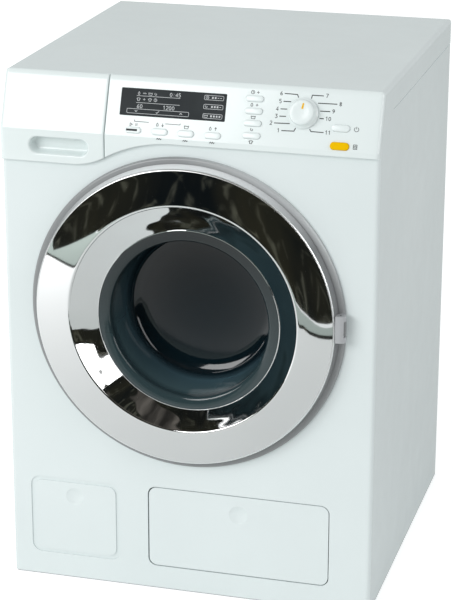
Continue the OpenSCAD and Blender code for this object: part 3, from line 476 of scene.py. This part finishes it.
panel = piece("panel_skin", fascia(DRAWER_GAP_X + PANEL_GAP, SIDE_X, PANEL_ROUND, SIDE_ROUND),
              "cabinet", "white_panel", ["control_panel"])
dx0, dx1, ds0, ds1 = DISPLAY
openings = [shifted(pill(w + BUTTON_GAP, h + BUTTON_GAP), x, s) for x, s, w, h in BUTTONS.values()]
openings.append(rounded_rect(dx0, dx1, ds0, ds1, 0.5, 3))
openings.append(shifted(arc(0, 0, KNOB_HOLE_R, 0, 345, 23), KNOB_X, KNOB_S))
holes = bmesh.new()
for outline in openings:
    plug(holes, outline, on_panel, HOLE_DEPTH, HOLE_PROUD)
cut(panel, holes)

front = piece("drawer_skin", fascia(-SIDE_X, DRAWER_GAP_X - PANEL_GAP, SIDE_ROUND, DRAWER_ROUND),
              "drawer", "white_panel", ["drawer_front"])


def grip_outline(inset):
    return shifted(pill(GRIP_W - 2 * inset, GRIP_H - 2 * inset, 16), GRIP_X, GRIP_Z)


holes = bmesh.new()
plug(holes, grip_outline(-GRIP_LIP), upright, FASCIA_Y - 3, FASCIA_Y + 6)
cut(front, holes)

# The recess as insets and depths, from the middle of its bottom out to the lip and round behind
GRIP_SECTION = [(3.0, 6.0), (1.7, 6.0), (0.95, 5.7), (0.5, 5.0), (0.25, 3.6), (0.0, 1.0),
                (-0.06, 0.6), (-0.25, 0.28), (-0.55, 0.06), (-GRIP_LIP, 0.0),
                (-GRIP_LIP, 1.2), (-0.5, 7.2)]
recess = bmesh.new()
loops(recess, [[upright(x, z, FASCIA_Y + depth) for x, z in grip_outline(inset)]
               for inset, depth in GRIP_SECTION])
piece("drawer_grip", recess, "drawer", "white_panel")

# ---- door ----


def door_shell(name, profile, slot, replaces, body="door", finish=None):
    """A closed profile of radius and Y turned about the door's axis."""
    bm = bmesh.new()
    loops(bm, [[(r * c, y, DOOR_Z + r * s) for r, y in profile]
               for c, s in circle(1.0, DOOR_SEGMENTS)], close_rows=True)
    piece(name, bm, body, slot, replaces, finish)


def ring(r, y, z, count=DOOR_SEGMENTS):
    """A circle of points that faces the front, round a centre at a height."""
    return [(px, y, z + pz) for px, pz in circle(r, count)]


bezel = [(BEZEL_BORE_R, FRONT_Y + 3), (BEZEL_SPIGOT_R, FRONT_Y + 3),
         (BEZEL_SPIGOT_R, FRONT_Y - 0.04), (BEZEL_R, FRONT_Y - 0.04), (BEZEL_R, FRONT_Y - 0.8)]
bezel += bezier((BEZEL_R - 0.02, FRONT_Y - 1.0), (BEZEL_R - 0.1, BEZEL_TOP_Y + 0.04),
                (BEZEL_R - 1.3, BEZEL_TOP_Y), 8)
bezel += [(BEZEL_BORE_R + 0.3, BEZEL_TOP_Y), (BEZEL_BORE_R, BEZEL_TOP_Y + 0.3)]
# The bezel's finish paints highlight and shade on it
door_shell("bezel_skin", bezel, "grey_satin", ["door_bezel"], "cabinet", "bezel_painted_light")

# The side of the door is a satin skirt whose colour carries painted highlight and shade; the
# plated face starts at the roll on top of it
skirt = [(RING_FOOT_R - 3, BEZEL_TOP_Y - 0.3), (RING_FOOT_R - 0.3, BEZEL_TOP_Y - 0.3),
         (RING_FOOT_R, BEZEL_TOP_Y - 0.5)]
skirt += bezier((RING_FOOT_R - 0.1, BEZEL_TOP_Y - 1.2), (RING_R + 0.65, ROLL_Y + 2.6),
                (RING_R + 0.05, ROLL_Y + 0.75), 8)
skirt += [(RING_R - 0.5, ROLL_Y + 0.75), (RING_FOOT_R - 3, ROLL_Y + 1.2)]
door_shell("ring_skirt", skirt, "light_silver", [], finish="skirt_painted_light")

# A narrow bright edge runs round the plated face
edge = [(RING_R - 0.8, ROLL_Y + 0.7), (RING_R, ROLL_Y + 0.7), (RING_R, ROLL_Y + 0.5),
        (RING_R - 0.12, ROLL_Y + 0.28), (RING_R - 0.45, ROLL_Y - 0.1),
        (RING_R - 0.8, ROLL_Y - 0.19)]
door_shell("ring_edge", edge, "light_silver", [], finish="edge_silver")

plated = [(RING_FOOT_R - 2.8, ROLL_Y + 1.15), (RING_R - 0.82, ROLL_Y + 0.7),
          (RING_R - 0.82, ROLL_Y - 0.2)]
plated += bezier((RING_R - 1.9, ROLL_Y - 0.36), (64.5, FRONT_Y - 9.25),
                 (LIP_R + 1.3, LIP_Y + 0.2), 10)
plated += bezier((LIP_R + 0.7, LIP_Y + 0.14), (LIP_R - 0.1, LIP_Y + 0.08),
                 (LIP_R - 0.5, LIP_Y + LIP_ROLL), 6)
plated += [(LIP_R - 0.45, FRONT_Y - 8.4), (LIP_R + 0.6, FRONT_Y - 7.4)]
door_shell("chrome_ring", plated, "chrome_plate", ["door_ring"])

# The funnel runs obliquely from the lip to the lower-set mouth of the bowl
FUNNEL_TOP_R, FUNNEL_TOP_Y = LIP_R - 0.5, LIP_Y + LIP_ROLL


def funnel_row(t, extra=0.0):
    """One ring of the funnel; t runs from 0 at the lip to 1 at the mouth."""
    r = FUNNEL_TOP_R + (FUNNEL_R - LIP_R + 0.5) * t + FUNNEL_BELL * math.sin(math.pi * t) + extra
    return ring(r, FUNNEL_TOP_Y + (MOUTH_Y - FUNNEL_TOP_Y) * t, DOOR_Z - GLASS_DROP * t)


inside = [funnel_row(k / 16) for k in range(17)]
outside = [funnel_row(k / 4, FUNNEL_WALL) for k in range(4, 0, -1)]
outside.append([(x, y + 1.2, z) for x, y, z in funnel_row(0, 0.4)])
funnel = bmesh.new()
loops(funnel, inside + outside, close_rows=True)
piece("chrome_funnel", funnel, "door", "chrome_plate", ["door_funnel"], "wavy_chrome")

bead = bmesh.new()
loops(bead, [ring(FUNNEL_R + dr, MOUTH_Y + dy, MOUTH_Z)
             for dr, dy in ((0.1, 0.0), (-0.02, -0.16), (-0.22, -0.16), (-0.3, 0.02),
                            (-0.1, 0.06))], close_rows=True)
piece("mouth_bead", bead, "door", "chrome_plate")

# The bowl in radius and depth: a narrow flat mouth, a wall almost straight and a domed bottom
bowl_profile = [(0.6, 32.0), (8.0, 31.95), (16.0, 31.75), (24.0, 31.35)]
bowl_profile += bezier((29.5, 30.95), (36.6, 30.4), (38.5, 25.5), 12)
bowl_profile += [(38.8, 21.0), (39.2, 12.0), (39.5, 5.0)]
bowl_profile += bezier((39.6, 2.2), (39.75, 0.75), (41.3, 0.45), 6)
bowl_profile += [(43.2, 0.2), (44.6, 0.02), (51.8, 0.0), (51.9, 1.5), (47.4, 1.7), (43.2, 1.9)]
bowl_profile += bezier((42.3, 2.0), (41.3, 2.1), (41.2, 4.2), 5)
bowl_profile += [(40.8, 13.0)]
bowl_profile += bezier((40.3, 25.8), (39.4, 31.0), (30.5, 32.4), 12)
bowl_profile += [(24.0, 32.85), (16.0, 33.25), (8.0, 33.45), (0.6, 33.5)]
bowl_y = MOUTH_Y + 0.1
bowl = bmesh.new()
loops(bowl, [ring(r, bowl_y + d, MOUTH_Z, BOWL_SEGMENTS) for r, d in bowl_profile])
piece("bowl", bowl, "door", "smoked", ["door_glass"])

# ---- programme knob ----

profile = [(3.0, -2.0), (3.0, 0.3), (KNOB_R - 0.15, 0.3), (KNOB_R, 0.42), (KNOB_R, 0.75)]
profile += bezier((KNOB_R - 0.12, 1.0), (KNOB_CAP_R + 0.7, 1.35), (KNOB_CAP_R + 0.35, 2.3), 5)
profile += [(KNOB_CAP_R + 0.12, 3.1)]
profile += bezier((KNOB_CAP_R, 3.75), (KNOB_CAP_R - 0.05, KNOB_TOP - 0.02),
                  (KNOB_CAP_R - 0.85, KNOB_TOP), 6)
profile += [(3.2, KNOB_TOP - 0.1), (1.2, KNOB_TOP - 0.14)]
knob = bmesh.new()
loops(knob, [[on_panel(x, s, n) for x, s in shifted(circle(r, KNOB_SEGMENTS), KNOB_X, KNOB_S)]
             for r, n in profile])
piece("knob_cap", knob, "knob", "white_panel", ["programme_knob"])

MARK_ANGLE = math.radians(9.5)
MARK = ((1.6, 0.3), (1.75, 0.44), (4.15, 0.34), (4.3, 0.22))  # radius and half width
mark_dir = Vector((math.sin(MARK_ANGLE), math.cos(MARK_ANGLE)))
mark_side = Vector((mark_dir.y, -mark_dir.x))
corners = [mark_dir * r + mark_side * half for r, half in MARK]
corners += [mark_dir * r - mark_side * half for r, half in reversed(MARK)]
mark = bmesh.new()
loops(mark, [[on_panel(KNOB_X + c.x, KNOB_S + c.y, n) for c in corners]
             for n in (KNOB_TOP - 0.3, KNOB_TOP + 0.03)])
piece("knob_mark", mark, "knob", "yellow_plastic")

# ---- push buttons, as insets and heights ----

CAP_SECTION = [(0.0, -2.5), (0.0, 0.38), (0.04, 0.54), (0.14, 0.68), (0.32, 0.77),
               (0.6, BUTTON_PROUD)]
for name, (x, s, w, h) in BUTTONS.items():
    cap = bmesh.new()
    loops(cap, [[on_panel(x + px, s + ps, n) for px, ps in pill(w - 2 * inset, h - 2 * inset)]
                for inset, n in CAP_SECTION])
    slot = "yellow_plastic" if name == "door_button" else "white_panel"
    piece(name + "_cap", cap, name, slot, [name])

# ---- printed marks on the panel ----

INK_LIFT, INK_T = 0.04, 0.06
MITRE_LIMIT = 0.5
LEADER_W, BRACKET_W, SIGN_W = 0.42, 0.26, 0.25
NUMBER_H, NUMBER_W = 1.75, 0.27
DIGIT_PITCH, DIGIT_SHIFT = 0.82, 0.1


def strip(bm, points, width, place, lift=INK_LIFT):
    """A thin printed line through points, mitred where it turns."""
    half = width / 2
    pts = [Vector(p) for p in points]
    left, right = [], []
    for i, p in enumerate(pts):
        before = (p - pts[i - 1]).normalized() if i else None
        after = (pts[i + 1] - p).normalized() if i + 1 < len(pts) else None
        last, following = before or after, after or before
        d = (last + following).normalized()
        side = Vector((-d.y, d.x))
        scale = 1.0 / max(MITRE_LIMIT, side.dot(Vector((-following.y, following.x))))
        left.append(p + side * half * scale)
        right.append(p - side * half * scale)
    for i in range(len(pts) - 1):
        corners = [left[i], left[i + 1], right[i + 1], right[i]]
        top = [bm.verts.new(place(c.x, c.y, lift)) for c in corners]
        low = [bm.verts.new(place(c.x, c.y, lift - INK_T)) for c in corners]
        bm.faces.new(top)
        bm.faces.new(low[::-1])
        for k in range(4):
            j = (k + 1) % 4
            bm.faces.new((top[k], top[j], low[j], low[k]))


def dial(start, end):
    """Points clockwise round a circle one unit wide, from and to angles from its top."""
    turns = [math.radians(a) for a in range(start, end + 1, 24)]
    return [(.5 * math.sin(t), .5 * math.cos(t)) for t in turns]


LEADERS = [
    [(45.5, 25.0), (51.6, 24.85), (52.2, 23.5)],
    [(45.3, 21.3), (48.9, 21.35)],
    [(44.2, 17.7), (47.4, 17.8)],
    [(44.0, 14.3), (47.1, 14.4)],
    [(41.8, 11.0), (49.2, 11.2)],
    [(45.6, 7.7), (51.5, 7.85), (52.2, 9.3)],
    [(58.3, 23.4), (58.6, 25.0), (64.0, 25.0)],
    [(61.6, 21.5), (70.7, 21.6)],
    [(63.0, 17.9), (67.7, 18.0)],
    [(63.0, 14.5), (65.0, 14.5)],
    [(58.8, 9.3), (59.6, 8.2), (65.5, 8.15)],
]
BRACKETS = [[(-25.6, 7.95), (-25.5, 7.2), (-18.5, 7.15)],
            [(-10.3, 7.0), (-3.2, 6.95), (-3.1, 7.6)]]
DIGITS = {
    "0": [[(.3, 1), (.08, .8), (.02, .5), (.08, .2), (.3, 0), (.52, .2), (.58, .5), (.52, .8),
           (.3, 1)]],
    "1": [[(.08, .78), (.35, 1), (.35, 0)]],
    "2": [[(.03, .78), (.16, .97), (.44, .97), (.57, .78), (.5, .55), (.03, .02), (.6, .02)]],
    "3": [[(.05, .98), (.55, .98), (.27, .6), (.52, .48), (.57, .26), (.44, .05), (.2, 0),
           (.03, .14)]],
    "4": [[(.45, 0), (.45, 1), (.02, .3), (.62, .3)]],
    "5": [[(.54, 1), (.1, 1), (.06, .58), (.36, .62), (.57, .4), (.5, .1), (.26, 0), (.03, .1)]],
    "6": [[(.5, .95), (.2, .75), (.03, .35), (.12, .06), (.38, 0), (.57, .2), (.46, .48),
           (.22, .5), (.05, .32)]],
    "7": [[(.02, 1), (.6, 1), (.22, 0)]],
    "8": [[(.3, .54), (.07, .75), (.3, 1), (.53, .75), (.3, .54), (.03, .26), (.3, 0),
           (.57, .26), (.3, .54)]],
    "9": [[(.1, .05), (.4, .25), (.57, .65), (.48, .94), (.22, 1), (.03, .8), (.14, .52),
           (.38, .5), (.55, .68)]],
    ":": [[(.3, .2), (.3, .32)], [(.3, .68), (.3, .8)]],
}
SIGNS = {
    "drop": [[(0, .55), (-.26, .1), (-.3, -.18), (-.16, -.42), (.16, -.42), (.3, -.18),
              (.26, .1), (0, .55)]],
    "down": [[(0, .5), (0, -.45)], [(-.32, -.08), (0, -.48), (.32, -.08)]],
    "up": [[(0, -.5), (0, .45)], [(-.32, .08), (0, .48), (.32, .08)]],
    "tub": [[(-.65, .4), (-.5, -.45), (.5, -.45), (.65, .4)],
            [(-.5, .12), (-.3, .28), (-.1, .12), (.1, .28), (.3, .12), (.5, .28)]],
    "wave": [[(-.6, -.1), (-.35, .2), (-.1, -.1), (.15, .2), (.4, -.1), (.6, .12)]],
    "run": [[(-.35, .45), (-.35, -.45), (.4, 0), (-.35, .45)]],
    "stop": [[(-.2, .42), (-.2, -.42)], [(.2, .42), (.2, -.42)]],
    "clock": [dial(0, 360), [(0, .32), (0, 0), (.24, -.1)]],
    "plus": [[(-.4, 0), (.4, 0)], [(0, -.4), (0, .4)]],
    "spin": [[((.12 + .055 * k) * math.sin(.8 * k), (.12 + .055 * k) * math.cos(.8 * k))
              for k in range(8)]],
    "shirt": [[(-.2, .45), (-.6, .2), (-.45, -.05), (-.3, .05), (-.3, -.5), (.3, -.5),
               (.3, .05), (.45, -.05), (.6, .2), (.2, .45), (0, .35), (-.2, .45)]],
    "door": [[(-.42, .5), (-.42, -.5), (.42, -.5), (.42, .5), (-.42, .5)],
             [(x * .5, y * .5) for x, y in dial(0, 360)]],
    "power": [dial(36, 324), [(0, .05), (0, .62)]],
}


def draw(bm, lines, x, s, size, width, place, lift=INK_LIFT):
    for line in lines:
        strip(bm, [(x + size * u, s + size * v) for u, v in line], width, place, lift)


def number(bm, text, x, s, size, width, place, lift=INK_LIFT):
    """Plain digits, centred at a place."""
    for k, digit in enumerate(text):
        left = x + (k - len(text) / 2) * (DIGIT_PITCH * size) + DIGIT_SHIFT * size
        draw(bm, DIGITS[digit], left, s - size / 2, size, width, place, lift)


ink = bmesh.new()
for line in LEADERS:
    strip(ink, line, LEADER_W, on_panel)
for line in BRACKETS:
    strip(ink, line, BRACKET_W, on_panel)
# The dial's programmes are numbered, clockwise from the foot at the left
for text, x, s in (("1", 44.1, 7.7), ("2", 40.3, 11.0), ("3", 42.5, 14.3), ("4", 42.7, 17.7),
                   ("5", 43.8, 21.3), ("6", 44.0, 25.0), ("7", 65.6, 25.1), ("8", 72.3, 21.7),
                   ("9", 69.3, 18.1), ("10", 67.1, 14.6), ("11", 67.5, 8.2)):
    number(ink, text, x, s, NUMBER_H, NUMBER_W, on_panel)
for sign, x, s, size in (
        ("run", -27.0, 5.7, 1.5), ("stop", -24.4, 5.7, 1.5), ("drop", -14.2, 6.3, 1.6),
        ("down", -11.6, 6.3, 1.5), ("wave", -12.8, -0.4, 2.0), ("tub", 0.0, 6.2, 1.7),
        ("wave", 0.0, -0.4, 2.0), ("drop", 11.6, 6.2, 1.6), ("up", 14.2, 6.2, 1.5),
        ("wave", 13.0, -0.4, 2.0), ("clock", 30.4, 24.6, 1.6), ("plus", 32.9, 24.6, 1.5),
        ("drop", 30.4, 18.7, 1.6), ("plus", 32.9, 18.7, 1.5), ("tub", 31.6, 13.0, 1.6),
        ("spin", 31.6, 7.2, 1.7), ("shirt", 31.6, 1.4, 1.6), ("power", 80.8, 10.6, 2.1),
        ("door", 80.9, 2.5, 2.0)):
    draw(ink, SIGNS[sign], x, s, size, SIGN_W, on_panel)
piece("panel_print", ink, "cabinet", "display_dark", finish="ink_dark")

start_mark = bmesh.new()
strip(start_mark, [(-29.0, 3.0), (-23.6, 3.0)], 1.0, on_panel, BUTTON_PROUD + 0.03)
piece("start_mark", start_mark, "start_button", "display_dark", finish="ink_dark")

# ---- foot: a thin grey line under the cabinet, the base plate's edge and painted shade ----

FOOT_IN, FOOT_CORNER_R = 0.25, 2.0
foot_x, foot_y = SIDE_X - FOOT_IN, -FRONT_Y - FOOT_IN
foot = bmesh.new()
loops(foot, [[(x, y, z) for x, y in rounded_rect(-foot_x + d, foot_x - d, -foot_y + d, foot_y - d,
                                                 FOOT_CORNER_R)]
             for d, z in ((0.15, 0.06), (0.0, 0.15), (0.0, 0.56), (3.0, 0.56), (3.0, 0.06))],
      close_rows=True)
# Its grey stands in for the contact shadow along the cabinet's foot: painted shade
piece("foot_shadow_line", foot, "cabinet", "grey_satin")

# ---- display ----

LENS_N = -0.34
GLYPH_LIFT, HAIR_W, TICK_W, COUNT_W = 0.03, 0.2, 0.25, 0.24
ROW_SIGN_H = 1.4

lens = bmesh.new()
loops(lens, [[on_panel(x, s, n) for x, s in rounded_rect(dx0 + inset, dx1 - inset, ds0 + inset,
                                                         ds1 - inset, 0.45, 3)]
             for inset, n in ((0.1, -2.2), (0.1, -0.42), (0.18, LENS_N))])
piece("display_glass", lens, "cabinet", "display_dark", ["display_lens"])


def on_lens(u, v, n=0.0):
    """A point measured from the window's top left corner, right and down."""
    return on_panel(dx0 + u, ds1 - v, LENS_N + n)


def lens_up(u, w, n=0.0):
    """The same with heights counted upwards."""
    return on_lens(u, -w, n)


glyphs = bmesh.new()


def lens_line(points, width=HAIR_W):
    strip(glyphs, points, width, on_lens, GLYPH_LIFT)


def boxed(u0, v0, u1, v1):
    outline = rounded_rect(u0, u1, v0, v1, 0.5, 3)
    lens_line(outline + outline[:2])


for v in (3.5, 6.75):
    lens_line([(7.6, v), (28.9, v)])
boxed(3.4, 9.75, 33.7, 11.85)
for k, (v, sign) in enumerate(((0.95, "clock"), (5.2, "spin"), (9.6, "tub"))):
    boxed(40.6, v + 0.2, 49.9, v + 2.3)
    draw(glyphs, SIGNS[sign], 42.0, -v - 1.25, ROW_SIGN_H, HAIR_W, lens_up, GLYPH_LIFT)
    for bar in range(4):
        lens_line([(44.2 + bar * 1.35, v + 1.25), (45.0 + bar * 1.35, v + 1.25)],
                  0.9 if bar <= k + 1 else 0.3)
for tick in ([(7.3, 10.4), (7.9, 11.1), (8.5, 10.4)], [(17.7, 10.8), (18.2, 11.3), (19.2, 10.2)],
             [(29.3, 11.1), (29.9, 10.4), (30.5, 11.1)]):
    lens_line(tick, TICK_W)
for text, u, v, size in (("0:45", 26.4, 2.1, 1.7), ("60", 9.5, 8.4, 1.8),
                         ("1200", 23.7, 8.4, 1.8)):
    number(glyphs, text, u, -v, size, COUNT_W, lens_up, GLYPH_LIFT)
for v, signs in ((2.3, ("drop", "wave", "tub", "spin")),
                 (5.1, ("shirt", "plus", "shirt", "clock"))):
    for u, sign in zip((8.6, 11.4, 14.2, 16.9), signs):
        draw(glyphs, SIGNS[sign], u, -v, ROW_SIGN_H, HAIR_W, lens_up, GLYPH_LIFT)
piece("display_print", glyphs, "cabinet", "white_panel", finish="ink_white")

# ---- finish of the CAD nodes that stay ----


def softened(name, width):
    """Rounds the sharp edges of a CAD node."""
    made = nodes[name]
    flat = made.modifiers.new("flat", "DECIMATE")
    flat.decimate_type = "DISSOLVE"
    flat.angle_limit = math.radians(1)
    edge = made.modifiers.new("edge", "BEVEL")
    edge.width = width * MM
    edge.segments = 3
    edge.limit_method = "ANGLE"
    edge.angle_limit = math.radians(40)
    edge.use_clamp_overlap = False


for made in nodes.values():
    for held in made.material_slots:
        key = held.material.name.split(".")[0] if held.material else ""
        if key in MATS:
            held.material = MATS[key]
# The compartment is coloured near black as painted shade, so the gap round its flap shows dark
for held in nodes["flap_box"].material_slots:
    held.material = MATS["gap_painted_shade"]
softened("service_flap", 0.45)
softened("hinge_block", 0.35)

# ---- studio: floor, panels, light, camera ----

UNSEEN = {"camera": False, "diffuse": False, "shadow": False}
# The front edge of the paper, and the edge of the table that shows beyond it in the chrome
FLOOR_EDGE = [(-2200, -1390), (-1100, -972), (-640, -800), (-585, -778), (-521, -747),
              (-447, -712), (-394, -692), (-46, -535), (40, -534), (67, -530), (82, -504),
              (100, -487), (113, -481), (170, -470), (870, -420)]
TABLE_EDGE = [(-650, -1250), (-605, -1172), (-521, -1120), (-447, -1060), (-394, -1020),
              (-46, -780), (40, -672), (62, -632), (84, -591), (98, -560), (111, -541),
              (170, -525), (870, -470)]
FLOOR_BACK = 3200
PAPER_FADE = (-450, 10, 0.0)
PAPER_TINT = (-0.55, 0.75)  # where its tint starts and stops changing, in metres
PANEL_EYE, PANEL_FAR = Vector((-60, FRONT_Y, 120)), 1500
LIGHT_TARGET = Vector((0, 0, 0.13))


def toward(az, el):
    """The direction to a place seen from the part, by angles in degrees from the front and up."""
    az, el = math.radians(az), math.radians(el)
    return Vector((math.sin(az) * math.cos(el), -math.cos(az) * math.cos(el), math.sin(el)))


def lit(name, direction, distance, size, power, colour=(1, 1, 1), glossy=True):
    """An area light that faces the part; distance and size are in metres, power in watts."""
    data = bpy.data.lights.new(name, "AREA")
    data.shape = "RECTANGLE"
    data.size, data.size_y = size
    data.energy = power
    data.color = colour
    made = bpy.data.objects.new(name, data)
    bpy.context.scene.collection.objects.link(made)
    back = toward(*direction)
    made.location = LIGHT_TARGET + back * distance
    made.rotation_mode = "QUATERNION"
    made.rotation_quaternion = back.to_track_quat("Z", "Y")
    made.visible_glossy = glossy


def staged(name, rows, mat, **seen_by):
    """A stage object from rows of points in millimetres."""
    bm = bmesh.new()
    loops(bm, rows)
    made = solid(name, bm)
    made.data.materials.append(mat)
    for key, value in seen_by.items():
        setattr(made, "visible_" + key, value)


def paper(name, colour, mirrored, seen=0.0, bounced=0.0, fade=None):
    """Matte paper. It glows by one amount in reflections, one for the camera and one for bounced
    light. A fade gives two places across and the amount in reflections at the second."""
    s = Shader(name)
    if fade:
        across = s.axis("X")
        tint = s.ramp(s.span(across, 0.0, 1.0, *PAPER_TINT), colour, (0.64, 0.68, 0.66), 0.0, 1.0,
                      ((0.45, (0.76, 0.78, 0.775)),))
        mirrored = s.span(across, mirrored, fade[2], fade[0] * MM, fade[1] * MM)
    else:
        tint = s.ramp(s.noise(3.0), tuple(c * 0.985 for c in colour), colour)
    path = s.node("LightPath").outputs
    glossy = s.maths("MULTIPLY", path["Is Glossy Ray"], mirrored)
    lift = s.maths("MULTIPLY_ADD", path["Is Diffuse Ray"], bounced, glossy)
    s.set(Base_Color=tint, Roughness=0.9, Specular_IOR_Level=0.0, Emission_Color=(*colour, 1),
          Emission_Strength=s.maths("MULTIPLY_ADD", path["Is Camera Ray"], seen, lift))
    s.mat.cycles.emission_sampling = "NONE"
    return s.mat


def band(name, near, far, mat, **seen_by):
    """A flat strip on the ground between two edges with the same number of points."""
    rows = [[(*a, 0), (*b, 0), (*b, -1), (*a, -1)] for a, b in zip(near, far)]
    staged(name, rows, mat, **seen_by)


def softbox(name, az, el, glow):
    """A bright panel that only the mirrors see, between two pairs of angles from the door."""
    corners = []
    for i, j in ((0, 0), (1, 0), (1, 1), (0, 1)):
        a, e = math.radians(az[i]), math.radians(el[j])
        corners.append(Vector((math.sin(a), -math.cos(a), math.tan(e))) * PANEL_FAR + PANEL_EYE)
    far = [c * 1.002 for c in corners]
    staged(name, [corners, far], paper(name, (1.0, 1.0, 1.0), mirrored=glow), **UNSEEN)


band("floor", FLOOR_EDGE, [(x, FLOOR_BACK) for x, y in FLOOR_EDGE],
     paper("paper", (0.93, 0.935, 0.935), mirrored=0.24, seen=0.6, bounced=0.12,
           fade=PAPER_FADE))
band("table", [(x, y - 20) for x, y in FLOOR_EDGE[2:]], TABLE_EDGE,
     paper("table", (0.36, 0.41, 0.385), mirrored=0.08), **UNSEEN)
band("table_rim", TABLE_EDGE, [(x - 6, y - 24) for x, y in TABLE_EDGE],
     paper("table_rim", (0.8, 0.82, 0.82), mirrored=0.12), **UNSEEN)
softbox("softbox_right", az=(72.2, 92), el=(5, 37.5), glow=3.4)
softbox("softbox_front", az=(52, 64), el=(2, 40), glow=1.6)

world = bpy.data.worlds.new("studio")
bpy.context.scene.world = world
world.use_nodes = True
world.cycles.sampling_method = "NONE"
world.node_tree.nodes.clear()
sky = Graph(world.node_tree, "Generated")


def background(colour, strength=1.0):
    return sky.node("Background", Color=colour, Strength=strength).outputs[0]


def mixed(share, first, second):
    made = sky.node("MixShader", Fac=share)
    sky.give(first, made.inputs[1])
    sky.give(second, made.inputs[2])
    return made.outputs[0]


# In reflections the room is dark in front, with fine glints, and above it is a brownish ceiling;
# the backdrop is white behind
streaks = sky.noise(1.0, 4.0, 0.5, sky.stretched((6, 6, 1.2)))
fine = sky.noise(1.0, 5.0, 0.5, sky.stretched((26, 26, 5)), distortion=1.2)
tones = sky.ramp(streaks, (0.005, 0.007, 0.008), (0.024, 0.023, 0.015), 0.38, 0.75)
glints = sky.ramp(fine, (0, 0, 0), (0.080, 0.081, 0.062), 0.54, 0.72)
ceiling = sky.ramp(streaks, (0.022, 0.021, 0.019), (0.125, 0.115, 0.103), 0.35, 0.65)
above = sky.span(sky.axis("Z"), 0.0, 1.0, 0.62, 0.66)
left_of = sky.vector("DOT_PRODUCT", sky.place, (-1, -math.tan(math.radians(71)), 0))
overhead = sky.maths("MULTIPLY", above, sky.span(left_of, 0.0, 1.0, -0.01, 0.02))
ahead = mixed(overhead, background(sky.blend("ADD", tones, glints)), background(ceiling))
behind = sky.span(sky.axis("Y"), 0.0, 1.0, 0.02, 0.16)
room = mixed(behind, ahead, background((0.63, 0.66, 0.655, 1)))
path = sky.node("LightPath").outputs
lighting = mixed(path["Is Diffuse Ray"], room, background((0.975, 1.0, 1.0, 1), 0.60))
shown = mixed(path["Is Camera Ray"], lighting, background((1.0, 1.0, 1.0, 1)))
sky.node("OutputWorld", Surface=shown)

lit("key_light", (-32, 24), distance=1.6, size=(0.9, 0.7), power=11.2)
lit("right_light", (76, 22), distance=1.5, size=(0.62, 0.9), power=3.3, colour=(1.0, 0.92, 0.97),
    glossy=False)

CAM_AZ, CAM_EL, CAM_ROLL = 15.519, 18.873, math.radians(0.108)
CAM_DIST = 1143.847
CAM_TARGET = Vector((-5.68, 0, 124.485))
FOCAL_PX, PICTURE_PX, SENSOR_W = 2189.021, 600, 36
back = toward(CAM_AZ, CAM_EL)
right = Vector((math.cos(math.radians(CAM_AZ)), math.sin(math.radians(CAM_AZ)), 0))
up = back.cross(right)
cam_data = bpy.data.cameras.new("camera")
cam_data.sensor_width = SENSOR_W
cam_data.lens = FOCAL_PX / PICTURE_PX * SENSOR_W
cam_data.clip_start, cam_data.clip_end = 0.05, 20
camera = bpy.data.objects.new("camera", cam_data)
bpy.context.scene.collection.objects.link(camera)
stand = Matrix((right * math.cos(CAM_ROLL) + up * math.sin(CAM_ROLL),
                up * math.cos(CAM_ROLL) - right * math.sin(CAM_ROLL),
                back)).transposed().to_4x4()
stand.translation = (CAM_TARGET + back * CAM_DIST) * MM
camera.matrix_world = stand
bpy.context.scene.camera = camera
bpy.context.scene.view_settings.view_transform = "Standard"
